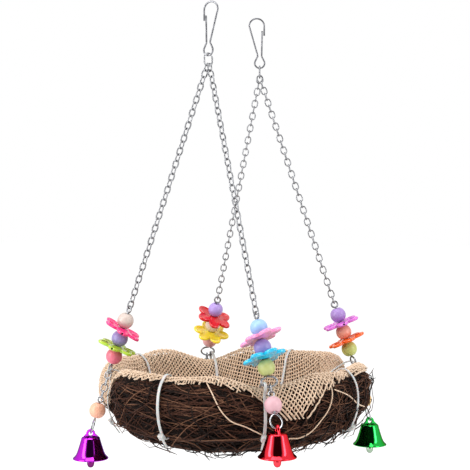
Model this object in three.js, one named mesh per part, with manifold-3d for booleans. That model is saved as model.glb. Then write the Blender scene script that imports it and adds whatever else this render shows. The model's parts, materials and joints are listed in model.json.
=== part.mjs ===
// Hanging bird nest: a twig bowl lined with burlap, hung by four chains from two wire snap hooks,
// with beads and flowers at the rim and a bell below each chain. Millimetres, +Z up.
// The origin lies midway between the two hooks, level with the seats in their bows that rest on a bar.
import * as THREE from 'three';
import Module from 'manifold-3d';
import { mergeGeometries, mergeVertices } from 'three/addons/utils/BufferGeometryUtils.js';

const wasm = await Module();
wasm.setup();

// Clearances
const GAP = 0.3;
const LINK_PLAY = 0.5;
const RING_PLAY = 0.85;
const CLOTH_LIFT = 0.45;

// Snap hooks, bent from one wire
const HOOK_SPACING = 75;
const HOOK_LENGTH = 40;
const HOOK_WIRE = 1.3;
const BOW_WIDTH = 13;
const BOW_OFFSET = 2.3;
const HOOK_EYE_WIDTH = 9;
const NECK_HEIGHT = 10;
const NECK_SPREAD = 2.3;
const BOW_TIP_REACH = 7.5;
const GATE_OVERLAP = 3.6;
const FRONT_HOOK_YAW = 0;
const BACK_HOOK_YAW = 31;

// Oval rings between hooks and chains
const RING_WIDTH = 8;
const RING_HEIGHT = 10.5;
const RING_WIRE = 1.2;
const FRONT_RING_YAW = 66;
const BACK_RING_YAW = 121;

// Chains of oval links
const LINK_LENGTH = 7.1;
const LINK_WIDTH = 5.4;
const LINK_WIRE = 1.1;
const CHAIN_LINKS = 38;
const CHAIN_SPREAD = 2.1;
const DROP_LINKS = { front_left: 4, front_right: 1, back_right: 4, back_left: 3 };

// Eye pins through the bead stacks
const PIN_WIRE = 1.4;
const TOP_EYE_RADIUS = 2.4;
const RIM_EYE_WIDTH = 12.6;
const RIM_EYE_HEIGHT = 8.4;

// Wooden beads and plastic flowers
const BEAD_DIAMETER = 12;
const BEAD_LENGTH = 10.6;
const BEAD_BORE = 3.6;
const FLOWER_DIAMETER = 30;
const FLOWER_THICKNESS = 2.6;
const FLOWER_BORE = 2.6;
const PETALS = 6;
const PETAL_FACES = 4;
const PETAL_EDGE = 1.5;
const NOTCH_RADIUS = 6.5;
const HUB_RADIUS = 3.8;
const DISH_DEPTH = 0.9;

// Wire loops that carry the drop beads and the bells
const LOOP_WIDTH = 9.4;
const LOOP_HEIGHT = 12;
const LOOP_WIRE = 1.2;
const LOOP_EYE_RADIUS = 2;
const DROP_LEAN = { front_left: 17, front_right: 35, back_right: 16, back_left: 22 };

// Bells
const BELL_MOUTH = 26;
const BELL_SHOULDER = 13.6;
const BELL_HEIGHT = 16.5;
const BELL_WALL = 0.7;
const BELL_FACES = 10;
const HANGER_RADIUS = 2.2;
const HANGER_WIRE = 1.2;
const STAPLE_RADIUS = 1.7;
const STAPLE_WIRE = 0.8;
const CLAPPER_BALL = 5.6;
const CLAPPER_WIRE = 0.9;
const CLAPPER_EYE_RADIUS = 1.3;
const CLAPPER_SHOW = 6.5;
const CROWN_DROP = 1.8;
const STAPLE_DROP = 2.3;

// Twig bowl, measured down from its crest
const NEST_RADIUS = 102;
const NEST_HEIGHT = 52;
const NEST_FLOOR = 14;
const RIM_RISE = 8;
const RISE_DEPTH = 30;
const RIM_WALL = 16;
const STATION_CINCH = 8;
const SIDE_CINCH = 3;
const CINCH_ANGLE = 12;
const CINCH_FADE = 20;
const CINCH_FROM = 0.3;
const CINCH_FULL = 0.8;
const NEST_FACES = 48;
const BUNDLE_PITCH = 19;
const BUNDLE_DEPTH = 3.5;
const BUNDLE_ROWS = 4;
const BUNDLE_SWAY = 0.2;
const BUNDLE_WAVES = 3;
const BUNDLE_FADE = 12;
const EYE_INSET = 7.5;
const EYE_HEIGHT = 6.2;

// Burlap liner
const CLOTH_THICKNESS = 1;
const HEM_DROP = 2.5;
const LEFT_HEM_DROP = 18;
const FLAP_DROP = 11;
const FOLD_HEIGHT = 3;
const FOLD_COUNT = 8;
const LEFT_HEM_AT = -145;
const LEFT_HEM_SPAN = 16;
const FLAP_AT = -34;
const FLAP_SPAN = 11;

// Cable ties
const TIE_WIDTH = 2.2;
const TIE_THICKNESS = 0.9;
const TIE_HEAD = { width: 4.4, height: 4.6, depth: 3 };
const TIE_TAIL = 8;
const TIE_SLOT_PLAY = 0.8;
const TIE_LIFT = 0.5;
const TIE_INNER_DROP = 22;
const TIE_OUTER_DROP = 33;
const EYE_APPROACH = 4;
const EYE_CLEARING = 1.8;
const EYE_UNDERCUT = 0.4;

const DEGREE = Math.PI / 180;
const UP = new THREE.Vector3(0, 0, 1);
const point = (x, y, z) => new THREE.Vector3(x, y, z);

// Materials
function finish(color, roughness, metalness = 0) {
  return new THREE.MeshStandardMaterial({ color, roughness, metalness });
}
const STEEL = finish(0xb9bbbd, 0.3, 1);
const NYLON = finish(0xe9e8e2, 0.5);
const TWIG = finish(0x4a3022, 0.9);
const BURLAP = finish(0xc2a177, 0.95);
const BELL_COLOURS = {
  front_left: 0x8a1a9c, front_right: 0xd8202c, back_right: 0x1f9a3a, back_left: 0x2450b8,
};
const STACK_COLOURS = {
  front_left: {
    beads: [0xf0e4cf, 0x9a8fd0, 0xf092a8], flowers: [0xf23f86, 0x9bd13a], drop: 0xf4b79c,
  },
  front_right: {
    beads: [0x9fc3f2, 0xa98ad8, 0xcfd86a], flowers: [0xf4a3c0, 0x2fb8dc], drop: 0xf5b8c0,
  },
  back_right: {
    beads: [0xa07cc4, 0xf3a08a, 0xc6d65a], flowers: [0xd85aa8, 0xf58a28], drop: 0xf0c27a,
  },
  back_left: {
    beads: [0xb79ae0, 0xf2ddc8, 0xf0b4b8], flowers: [0xd8262c, 0xf2cf2a], drop: 0x9fc3f2,
  },
};

// Closed geometry: shared corners merged, slivers dropped, faces turned outwards
function closed(geometry) {
  const bare = geometry.clone();
  bare.deleteAttribute('normal');
  bare.deleteAttribute('uv');
  const merged = mergeVertices(bare, 1e-4);
  const index = merged.index.array;
  const place = merged.attributes.position;
  const faces = [];
  let volume = 0;
  const corner = [point(0, 0, 0), point(0, 0, 0), point(0, 0, 0)];
  for (let i = 0; i < index.length; i += 3) {
    const [a, b, c] = [index[i], index[i + 1], index[i + 2]];
    if (a === b || b === c || c === a) continue;
    faces.push([a, b, c]);
    [a, b, c].forEach((vertex, k) => corner[k].fromBufferAttribute(place, vertex));
    volume += corner[0].dot(corner[1].clone().cross(corner[2]));
  }
  const turned = volume < 0 ? faces.map(([a, b, c]) => [a, c, b]) : faces;
  merged.setIndex(turned.flat());
  return merged;
}

// Booleans
function solid(geometry) {
  const mesh = closed(geometry);
  const vertProperties = new Float32Array(mesh.attributes.position.array);
  const triVerts = new Uint32Array(mesh.index.array);
  return new wasm.Manifold(new wasm.Mesh({ numProp: 3, vertProperties, triVerts }));
}

function geometryOf(body) {
  const mesh = body.getMesh();
  const geometry = new THREE.BufferGeometry();
  geometry.setAttribute('position', new THREE.BufferAttribute(mesh.vertProperties, 3));
  geometry.setIndex(new THREE.BufferAttribute(mesh.triVerts, 1));
  return geometry;
}

function joined(first, ...others) {
  return geometryOf(others.reduce((body, other) => body.add(solid(other)), solid(first)));
}

function cutBy(geometry, cutters) {
  return geometryOf(cutters.reduce((body, cutter) => body.subtract(solid(cutter)), solid(geometry)));
}

// Sections and sweeps: a section point is [across the path in its plane, along the plane's normal]
function roundSection(diameter, sides = 6) {
  const corners = [];
  for (let i = 0; i < sides; i += 1) {
    const angle = (2 * Math.PI * (i + 0.5)) / sides;
    corners.push([(diameter / 2) * Math.cos(angle), (diameter / 2) * Math.sin(angle)]);
  }
  return corners;
}

function flatSection(across, along) {
  const [x, y] = [across / 2, along / 2];
  return [[x, y], [-x, y], [-x, -y], [x, -y]];
}

// Mitred sweep. normals holds the plane's normal at each point; skip(segment, side) leaves a face out
function sweep(path, normals, section, { loop = false, skip = () => false } = {}) {
  const count = path.length;
  const sides = section.length;
  const positions = [];
  path.forEach((here, i) => {
    const before = path[(i + count - 1) % count];
    const after = path[(i + 1) % count];
    const arrive = here.clone().sub(before).normalize();
    const leave = after.clone().sub(here).normalize();
    if (!loop && i === 0) arrive.copy(leave);
    if (!loop && i === count - 1) leave.copy(arrive);
    const normal = Array.isArray(normals) ? normals[i] : normals;
    const side = normal.clone().cross(arrive.clone().add(leave)).normalize();
    const stretch = 1 / side.dot(normal.clone().cross(arrive).normalize());
    section.forEach(([across, along]) => {
      const corner = here.clone().addScaledVector(side, across * stretch).addScaledVector(normal, along);
      positions.push(corner.x, corner.y, corner.z);
    });
  });
  const index = [];
  const segments = loop ? count : count - 1;
  for (let i = 0; i < segments; i += 1) {
    const next = ((i + 1) % count) * sides;
    for (let k = 0; k < sides; k += 1) {
      if (skip(i, k)) continue;
      const k2 = (k + 1) % sides;
      index.push(i * sides + k, next + k, next + k2, i * sides + k, next + k2, i * sides + k2);
    }
  }
  if (!loop) {
    const last = (count - 1) * sides;
    for (let k = 1; k < sides - 1; k += 1) {
      index.push(0, k, k + 1, last, last + k + 1, last + k);
    }
  }
  const geometry = new THREE.BufferGeometry();
  geometry.setAttribute('position', new THREE.Float32BufferAttribute(positions, 3));
  geometry.setIndex(index);
  return geometry;
}

function arc(centre, radius, from, to, steps) {
  const points = [];
  for (let i = 0; i <= steps; i += 1) {
    const angle = (from + ((to - from) * i) / steps) * DEGREE;
    points.push(point(centre.x + radius * Math.cos(angle), 0, centre.z + radius * Math.sin(angle)));
  }
  return points;
}

function revolve(profile, faces) {
  const points = profile.map(([r, z]) => new THREE.Vector2(r, z));
  return new THREE.LatheGeometry(points, faces).rotateX(Math.PI / 2);
}

function mesh(name, geometry, material, parent) {
  const node = new THREE.Mesh(closed(geometry), material);
  node.name = name;
  parent.add(node);
  return node;
}

// Group whose own axes are given in its parent's frame
function framed(origin, xAxis, yAxis, zAxis) {
  const group = new THREE.Group();
  group.quaternion.setFromRotationMatrix(new THREE.Matrix4().makeBasis(xAxis, yAxis, zAxis));
  group.position.copy(origin);
  return group;
}

const nest = new THREE.Group();
const SIDEWAYS = point(0, -1, 0);

// Snap hook in its own XZ plane: lower eye under x = 0, seat of the bow at z = 0.
// mirror is 1 where the gate is on +X and -1 where it is on -X
const WIRE_FLAT = (HOOK_WIRE / 2) * Math.cos(Math.PI / 6);
const BOW_STEPS = 7;
const bowRadius = (BOW_WIDTH - HOOK_WIRE) / 2;
const bowCentre = point(-BOW_OFFSET, 0, WIRE_FLAT - bowRadius * Math.cos(Math.PI / (2 * BOW_STEPS)));
const hookEyeRadius = (HOOK_EYE_WIDTH - HOOK_WIRE) / 2;
const hookBottom = HOOK_WIRE - HOOK_LENGTH;
const hookEyeCentre = point(0, 0, hookBottom + HOOK_WIRE / 2 + hookEyeRadius);
const neckLevel = hookBottom + NECK_HEIGHT;
const gateTop = point(
  bowCentre.x + bowRadius - HOOK_WIRE - GAP, 0, bowCentre.z - BOW_TIP_REACH + GATE_OVERLAP,
);
const gateHinge = point(NECK_SPREAD / 2, 0, neckLevel + GAP / 2);

function mirrored(path, mirror) {
  return path.map((p) => point(p.x * mirror, p.y, p.z));
}

function snapHook(mirror) {
  const tip = point(bowCentre.x + bowRadius, 0, bowCentre.z - BOW_TIP_REACH);
  const path = [
    tip,
    ...arc(bowCentre, bowRadius, 0, 180, BOW_STEPS),
    point(-NECK_SPREAD / 2, 0, neckLevel),
    ...arc(hookEyeCentre, hookEyeRadius, 115, 425, 8),
    point(NECK_SPREAD / 2, 0, neckLevel - HOOK_WIRE / 2),
    point(NECK_SPREAD / 2, 0, neckLevel),
  ];
  return sweep(mirrored(path, mirror), SIDEWAYS, roundSection(HOOK_WIRE));
}

function hookGate(mirror) {
  const start = point(0, 0, GAP / 2);
  const end = gateTop.clone().sub(gateHinge);
  return sweep(mirrored([start, end], mirror), SIDEWAYS, roundSection(HOOK_WIRE));
}

// Oval ring in its own XZ plane, top wire centred on the origin
function ovalPath(width, height, steps) {
  const radius = width / 2;
  const straight = height / 2 - radius * Math.cos(90 * DEGREE / steps);
  const top = arc(point(0, 0, straight), radius, 0, 180, steps);
  const bottom = arc(point(0, 0, -straight), radius, 180, 360, steps);
  return [...top, ...bottom].map((p) => p.add(point(0, 0, -height / 2)));
}

const ringDrop = RING_HEIGHT - RING_WIRE;
function hookRing() {
  const path = ovalPath(RING_WIDTH - RING_WIRE, ringDrop, 5);
  return sweep(path, SIDEWAYS, roundSection(RING_WIRE), { loop: true });
}

const swingLevel = hookBottom + HOOK_WIRE + GAP + RING_WIRE / 2;
const chainTopLevel = swingLevel - ringDrop;
for (const { side, y, hookYaw, ringYaw, mirror } of [
  { side: 'front', y: -HOOK_SPACING / 2, hookYaw: FRONT_HOOK_YAW, ringYaw: FRONT_RING_YAW, mirror: -1 },
  { side: 'back', y: HOOK_SPACING / 2, hookYaw: BACK_HOOK_YAW, ringYaw: BACK_RING_YAW, mirror: 1 },
]) {
  const hook = new THREE.Group();
  hook.position.set(0, y, 0);
  hook.rotation.z = hookYaw * DEGREE;
  mesh(`${side}_hook`, snapHook(mirror), STEEL, hook);
  const gate = mesh(`${side}_gate`, hookGate(mirror), STEEL, hook);
  gate.position.set(gateHinge.x * mirror, 0, gateHinge.z);
  nest.add(hook);
  const ring = mesh(`${side}_ring`, hookRing(), STEEL, nest);
  ring.position.set(0, y, swingLevel);
  ring.rotation.z = ringYaw * DEGREE;
}

// Chain of links along -Z. Each link is a six-cornered ring of square wire. Its tip bars are as long
// inside as the wire is thick, so that two links share one square face where one bears on the other
const LINK_PITCH = LINK_LENGTH - 2 * LINK_WIRE;
const halfWire = LINK_WIRE / 2;
function linkPath() {
  const tipLevel = (LINK_LENGTH - LINK_WIRE) / 2;
  const halfWidth = (LINK_WIDTH - LINK_WIRE) / 2;
  let bar = LINK_WIRE;
  for (let i = 0; i < 30; i += 1) {
    const turn = Math.atan2(tipLevel, halfWidth - bar);
    bar = halfWire + halfWire * Math.tan(turn / 2);
  }
  return [
    point(bar, 0, tipLevel), point(-bar, 0, tipLevel), point(-halfWidth, 0, 0),
    point(-bar, 0, -tipLevel), point(bar, 0, -tipLevel), point(halfWidth, 0, 0),
  ];
}

const LINK_SECTION = [
  [halfWire, -halfWire], [halfWire, halfWire], [-halfWire, halfWire], [-halfWire, -halfWire],
];
const TOP_BAR = 0;
const BOTTOM_BAR = 3;
const INNER_FACE = 0;
function chain(count) {
  const links = [];
  for (let i = 0; i < count; i += 1) {
    const bearsAbove = i > 0;
    const bearsBelow = i < count - 1;
    const skip = (segment, face) => face === INNER_FACE
      && ((segment === TOP_BAR && bearsAbove) || (segment === BOTTOM_BAR && bearsBelow));
    const link = sweep(linkPath(), SIDEWAYS, LINK_SECTION, { loop: true, skip });
    link.rotateZ((i % 2) * Math.PI / 2);
    link.translate(0, 0, -(i + 0.5) * LINK_PITCH);
    links.push(link);
  }
  return mergeGeometries(links);
}

// Eye pin along -Z: an eye that the last link pulls on, a shank through the stack, an eye at the rim.
// An eye is an open bend of the wire, centred on the shank, in the plane of direction and Z
const EYE_BENDS = [0, 45, 90, 135, 180, 225, 270, 300];
function eyeBend(direction, halfWidth, halfHeight, level, towards) {
  return EYE_BENDS.map((angle) => {
    const across = Math.sin(angle * DEGREE) * halfWidth;
    const along = -Math.cos(angle * DEGREE) * halfHeight * towards;
    return direction.clone().multiplyScalar(across).add(point(0, 0, level + along));
  });
}

function bentPin(wire, top, foot) {
  const topPath = eyeBend(top.direction, top.halfWidth, top.halfHeight, top.level, 1).reverse();
  const footPath = eyeBend(foot.direction, foot.halfWidth, foot.halfHeight, foot.level, -1);
  const normals = [
    ...topPath.map(() => top.direction.clone().cross(UP)),
    ...footPath.map(() => foot.direction.clone().cross(UP)),
  ];
  return sweep([...topPath, ...footPath], normals, roundSection(wire));
}

const rimEyeHalfWidth = (RIM_EYE_WIDTH - PIN_WIRE) / 2;
const rimEyeHalfHeight = (RIM_EYE_HEIGHT - PIN_WIRE) / 2;

// Levels down one leg, from the ring's bottom wire at 0
const chainStart = RING_PLAY + RING_WIRE / 2;
const chainEnd = chainStart - CHAIN_LINKS * LINK_PITCH;
const topEyeLevel = chainEnd + LINK_PLAY + PIN_WIRE / 2 - TOP_EYE_RADIUS;
const stackTop = topEyeLevel - TOP_EYE_RADIUS - PIN_WIRE / 2 - GAP;
const beadLevels = [0, 1, 2].map(
  (i) => stackTop - BEAD_LENGTH / 2 - i * (BEAD_LENGTH + FLOWER_THICKNESS + 2 * GAP),
);
const flowerLevels = [0, 1].map((i) => beadLevels[i] - BEAD_LENGTH / 2 - GAP - FLOWER_THICKNESS / 2);
const rimEyeLevel = beadLevels[2] - BEAD_LENGTH / 2 - GAP - PIN_WIRE / 2 - rimEyeHalfHeight;
const legLength = -rimEyeLevel;

// Turned wooden bead, bored along Z, with flat ends
function bead() {
  const radius = BEAD_DIAMETER / 2;
  const half = BEAD_LENGTH / 2;
  const bore = BEAD_BORE / 2;
  const flat = Math.sqrt(radius ** 2 - half ** 2);
  const profile = [[bore, -half], [flat, -half]];
  for (const angle of [-36, 0, 36]) {
    profile.push([radius * Math.cos(angle * DEGREE), radius * Math.sin(angle * DEGREE)]);
  }
  profile.push([flat, half], [bore, half], [bore, -half]);
  return revolve(profile, 10);
}

// Moulded flower: a bored hub and round petals, each dished inside a raised edge
function flower() {
  const reach = FLOWER_DIAMETER / 2;
  const bore = FLOWER_BORE / 2;
  const half = FLOWER_THICKNESS / 2;
  const edge = reach - PETAL_EDGE;
  const geometry = revolve([
    [bore, -half], [HUB_RADIUS, -half], [edge, -half], [reach, 0], [edge, half],
    [edge - PETAL_EDGE, half - DISH_DEPTH], [HUB_RADIUS + PETAL_EDGE, half - DISH_DEPTH],
    [HUB_RADIUS, half], [bore, half], [bore, -half],
  ], PETALS * PETAL_FACES);
  const place = geometry.attributes.position;
  for (let i = 0; i < place.count; i += 1) {
    const radius = Math.hypot(place.getX(i), place.getY(i));
    const angle = Math.atan2(place.getY(i), place.getX(i));
    const petal = Math.sqrt(Math.abs(Math.cos((PETALS * angle) / 2)));
    const outline = NOTCH_RADIUS + (reach - NOTCH_RADIUS) * petal;
    const share = Math.max((radius - HUB_RADIUS) / (reach - HUB_RADIUS), 0);
    const factor = 1 - (share * (reach - outline)) / radius;
    place.setXY(i, place.getX(i) * factor, place.getY(i) * factor);
  }
  return geometry;
}

// Bell about Z under its hanger. The pivot, at the origin, is the middle of the wire that it hangs on
const crownLevel = -(LOOP_WIRE / 2 + CROWN_DROP);
const staplePivot = crownLevel - BELL_WALL - STAPLE_DROP;
const mouthLevel = crownLevel - BELL_HEIGHT;
function bellShell() {
  const shoulder = BELL_SHOULDER / 2;
  const mouth = BELL_MOUTH / 2;
  const outer = [
    [0, 0], [shoulder - 2.2, -0.2], [shoulder, -2], [shoulder + 0.5, -0.35 * BELL_HEIGHT],
    [shoulder + 1.8, -0.66 * BELL_HEIGHT], [shoulder + 3.6, -0.87 * BELL_HEIGHT], [mouth, -BELL_HEIGHT],
  ];
  const inner = outer.slice(1, -1).map(([r, z]) => [r - BELL_WALL, z - 0.5 * BELL_WALL]).reverse();
  const profile = [...outer, [mouth - BELL_WALL, -BELL_HEIGHT], ...inner, [0, -BELL_WALL]];
  return revolve(profile, BELL_FACES).translate(0, 0, crownLevel);
}

function bell() {
  const hangerTop = LOOP_WIRE / 2 + LINK_PLAY + HANGER_WIRE / 2;
  const hangerFoot = crownLevel - 0.6 * BELL_WALL;
  const hangerArc = arc(point(0, 0, hangerTop - HANGER_RADIUS), HANGER_RADIUS, 0, 180, 4);
  const hangerPath = [point(HANGER_RADIUS, 0, hangerFoot), ...hangerArc, point(-HANGER_RADIUS, 0, hangerFoot)];
  const hanger = sweep(hangerPath, SIDEWAYS, roundSection(HANGER_WIRE, 5));
  const stapleFoot = crownLevel - 0.4 * BELL_WALL;
  const stapleArc = arc(point(0, 0, staplePivot + STAPLE_RADIUS), STAPLE_RADIUS, 180, 360, 4);
  const staplePath = [point(-STAPLE_RADIUS, 0, stapleFoot), ...stapleArc, point(STAPLE_RADIUS, 0, stapleFoot)];
  const staple = sweep(staplePath, SIDEWAYS, roundSection(STAPLE_WIRE, 4)).rotateZ(Math.PI / 2);
  return joined(bellShell(), hanger, staple);
}

// Clapper: a wire with an eye on the staple and a ball that shows below the mouth
function clapper() {
  const eyeTop = STAPLE_WIRE / 2 + GAP + CLAPPER_WIRE / 2;
  const ballLevel = mouthLevel - CLAPPER_SHOW + CLAPPER_BALL / 2 - staplePivot;
  const eye = eyeBend(point(1, 0, 0), CLAPPER_EYE_RADIUS, CLAPPER_EYE_RADIUS, eyeTop - CLAPPER_EYE_RADIUS, 1);
  const wire = sweep([point(0, 0, ballLevel), ...eye], SIDEWAYS, roundSection(CLAPPER_WIRE, 4));
  const ball = new THREE.SphereGeometry(CLAPPER_BALL / 2, 8, 4).rotateX(Math.PI / 2).translate(0, 0, ballLevel);
  return joined(ball, wire);
}

// The four legs: chain, eye pin, stack, and the drop below the rim
const eyeRadiusOnRim = NEST_RADIUS - EYE_INSET;
const STATION_ANGLES = { front_right: -45, back_right: 45, back_left: 135, front_left: -135 };
const SPREAD_SIDE = { front_right: 1, back_right: -1, back_left: 1, front_left: -1 };
const stations = Object.entries(STATION_ANGLES).map(([name, degrees]) => {
  const radial = point(Math.cos(degrees * DEGREE), Math.sin(degrees * DEGREE), 0);
  const front = name.startsWith('front');
  const yaw = (front ? FRONT_RING_YAW : BACK_RING_YAW) * DEGREE;
  const ringWire = point(Math.cos(yaw), Math.sin(yaw), 0);
  const top = point(0, (front ? -1 : 1) * HOOK_SPACING / 2, chainTopLevel);
  top.addScaledVector(ringWire, (SPREAD_SIDE[name] * CHAIN_SPREAD) / 2);
  const eye = radial.clone().multiplyScalar(eyeRadiusOnRim);
  const reach = Math.hypot(eye.x - top.x, eye.y - top.y);
  eye.z = top.z - Math.sqrt(legLength ** 2 - reach ** 2);
  return { name, degrees, radial, tangent: UP.clone().cross(radial), ringWire, top, eye };
});
const eyeLevel = stations.reduce((sum, station) => sum + station.eye.z, 0) / stations.length;
const crestLevel = eyeLevel - EYE_HEIGHT;

// Levels down one drop, from the rim eye's lowest wire at 0
const FUSE = 0.12;
const dropStart = LINK_PLAY + PIN_WIRE / 2;
const loopHalfHeight = (LOOP_HEIGHT - LOOP_WIRE) / 2;
const ALONG_X = point(1, 0, 0);
const ALONG_Y = point(0, 1, 0);

function acrossLast(count) {
  return count % 2 === 0 ? ALONG_X : ALONG_Y;
}

function dropLevels(links) {
  const eye = dropStart - links * LINK_PITCH + LOOP_WIRE / 2 - FUSE - LOOP_EYE_RADIUS;
  const dropBead = eye - LOOP_EYE_RADIUS - LOOP_WIRE / 2 - GAP - BEAD_LENGTH / 2;
  const loop = dropBead - BEAD_LENGTH / 2 - GAP - LOOP_WIRE / 2 - loopHalfHeight;
  return { eye, bead: dropBead, loop, bellPivot: loop - loopHalfHeight };
}

function dropChain(links, levels) {
  const eye = {
    direction: acrossLast(links), halfWidth: LOOP_EYE_RADIUS, halfHeight: LOOP_EYE_RADIUS, level: levels.eye,
  };
  const loop = {
    direction: ALONG_Y, halfWidth: (LOOP_WIDTH - LOOP_WIRE) / 2, halfHeight: loopHalfHeight, level: levels.loop,
  };
  return joined(chain(links).translate(0, 0, dropStart), bentPin(LOOP_WIRE, eye, loop));
}

for (const { name, radial, tangent, ringWire, top, eye } of stations) {
  const colours = STACK_COLOURS[name];
  const rise = top.clone().sub(eye).normalize();
  const linkSide = rise.clone().cross(ringWire).normalize();
  const leg = framed(top, linkSide, rise.clone().cross(linkSide), rise);
  nest.add(leg);
  mesh(`${name}_chain`, chain(CHAIN_LINKS).translate(0, 0, chainStart), STEEL, leg);
  const rimDirection = tangent.clone().applyQuaternion(leg.quaternion.clone().invert()).setZ(0).normalize();
  const topEye = {
    direction: acrossLast(CHAIN_LINKS),
    halfWidth: TOP_EYE_RADIUS,
    halfHeight: TOP_EYE_RADIUS,
    level: topEyeLevel,
  };
  const rimEye = {
    direction: rimDirection, halfWidth: rimEyeHalfWidth, halfHeight: rimEyeHalfHeight, level: rimEyeLevel,
  };
  mesh(`${name}_pin`, bentPin(PIN_WIRE, topEye, rimEye), STEEL, leg);
  ['upper', 'middle', 'lower'].forEach((place, i) => {
    mesh(`${name}_bead_${place}`, bead(), finish(colours.beads[i], 0.35), leg).position.z = beadLevels[i];
  });
  ['upper', 'lower'].forEach((place, i) => {
    const disc = mesh(`${name}_flower_${place}`, flower(), finish(colours.flowers[i], 0.2), leg);
    disc.position.z = flowerLevels[i];
  });

  const lean = DROP_LEAN[name] * DEGREE;
  const dropRise = UP.clone().multiplyScalar(Math.cos(lean)).addScaledVector(radial, -Math.sin(lean));
  const dropTop = eye.clone().addScaledVector(rise, -rimEyeHalfHeight);
  const drop = framed(dropTop, tangent.clone().cross(dropRise), tangent, dropRise);
  nest.add(drop);
  const levels = dropLevels(DROP_LINKS[name]);
  mesh(`${name}_drop_chain`, dropChain(DROP_LINKS[name], levels), STEEL, drop);
  mesh(`${name}_drop_bead`, bead(), finish(colours.drop, 0.35), drop).position.z = levels.bead;

  const pivot = dropTop.clone().addScaledVector(dropRise, levels.bellPivot);
  const ringer = framed(pivot, radial, tangent, UP);
  nest.add(ringer);
  mesh(`${name}_bell`, bell(), finish(BELL_COLOURS[name], 0.25, 1), ringer);
  mesh(`${name}_clapper`, clapper(), finish(BELL_COLOURS[name], 0.3, 1), ringer).position.z = staplePivot;
}

// Twig bowl. The profile runs from the bottom up the outside, over the crest and down the inside,
// as [radius, level below the crest]; the ties draw the wall in at their places
const OUTER_PROFILE = [
  [0, -NEST_HEIGHT], [0.44 * NEST_RADIUS, 1.5 - NEST_HEIGHT], [0.69 * NEST_RADIUS, 7 - NEST_HEIGHT],
  [NEST_RADIUS - 16, 13 - NEST_HEIGHT], [NEST_RADIUS - 6, 22 - NEST_HEIGHT], [NEST_RADIUS - 1, -22],
  [NEST_RADIUS, -13], [NEST_RADIUS - 2.5, -5],
];
const CREST = [NEST_RADIUS - 9, 0];
const innerRadius = NEST_RADIUS - RIM_WALL;
const floorLevel = NEST_FLOOR - NEST_HEIGHT;
const INNER_PROFILE = [
  [innerRadius + 1, -4], [innerRadius - 2, -12], [innerRadius - 6, -20],
  [innerRadius - 16, floorLevel + 9], [innerRadius - 36, floorLevel + 2.5], [0, floorLevel],
];
const SIDE_ANGLES = { right_tie: 0, back_tie: 90, left_tie: 180, front_tie: -90 };

function apart(angle, centre) {
  return Math.abs(((angle - centre + 540) % 360) - 180);
}

function cinch(angle, level) {
  const pull = (centre, depth) => depth * Math.exp(-((apart(angle, centre) / CINCH_ANGLE) ** 2));
  const atStations = Object.values(STATION_ANGLES).map((centre) => pull(centre, STATION_CINCH));
  const atSides = Object.values(SIDE_ANGLES).map((centre) => pull(centre, SIDE_CINCH));
  const share = THREE.MathUtils.clamp((level + NEST_HEIGHT) / (NEST_HEIGHT - CINCH_FADE), 0, 1);
  return share * [...atStations, ...atSides].reduce((sum, depth) => sum + depth, 0);
}

function drawnIn(radius, angle, level) {
  const share = THREE.MathUtils.smoothstep(radius, CINCH_FROM * NEST_RADIUS, CINCH_FULL * NEST_RADIUS);
  return radius - share * cinch(angle, level);
}

// The rim stands higher between the legs than at them
function risen(angle, level) {
  const held = Object.values(STATION_ANGLES).map((centre) => apart(angle, centre) / (2 * CINCH_ANGLE));
  const free = THREE.MathUtils.smoothstep(Math.min(...held), 0, 1);
  const share = THREE.MathUtils.clamp(1 + level / RISE_DEPTH, 0, 1);
  return level + RIM_RISE * free * share;
}

function polarAngle(x, y) {
  return Math.atan2(y, x) / DEGREE;
}

// Twigs are wound round the outside in thick bundles, with a hollow between each turn and the next
const OUTSIDE = [...OUTER_PROFILE, CREST];
const outsideRuns = OUTSIDE.slice(1).map(([r1, z1], i) => {
  const [r0, z0] = OUTSIDE[i];
  return { from: [r0, z0], to: [r1, z1], run: Math.hypot(r1 - r0, z1 - z0) };
});
const outsideLength = outsideRuns.reduce((sum, { run }) => sum + run, 0);
const ON_WALL = 1e-3;

function bundledRows() {
  return outsideRuns.flatMap(({ from, to, run }) => {
    const count = Math.ceil((run * BUNDLE_ROWS) / BUNDLE_PITCH);
    const shares = Array.from({ length: count }, (_, k) => k / count);
    return shares.map((share) => from.map((start, axis) => start + share * (to[axis] - start)));
  });
}

function hollowDepth(length, angle) {
  const sway = BUNDLE_SWAY * Math.sin(BUNDLE_WAVES * angle * DEGREE);
  const turns = length / BUNDLE_PITCH + angle / 360 + sway;
  const middle = THREE.MathUtils.smoothstep(length, BUNDLE_FADE, 2 * BUNDLE_FADE);
  const rim = THREE.MathUtils.smoothstep(outsideLength - length, BUNDLE_FADE, 2 * BUNDLE_FADE);
  return (BUNDLE_DEPTH * middle * rim * (1 - Math.cos(2 * Math.PI * turns))) / 2;
}

// A point of the round wall with the hollows sunk into its outside
function bundled(radius, angle, level) {
  let passed = 0;
  for (const { from: [r0, z0], to: [r1, z1], run } of outsideRuns) {
    const along = ((radius - r0) * (r1 - r0) + (level - z0) * (z1 - z0)) / run;
    const off = Math.abs((radius - r0) * (z1 - z0) - (level - z0) * (r1 - r0)) / run;
    if (off < ON_WALL && along > -ON_WALL && along < run + ON_WALL) {
      const depth = hollowDepth(passed + along, angle);
      return [radius - (depth * (z1 - z0)) / run, level + (depth * (r1 - r0)) / run];
    }
    passed += run;
  }
  return [radius, level];
}

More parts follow.
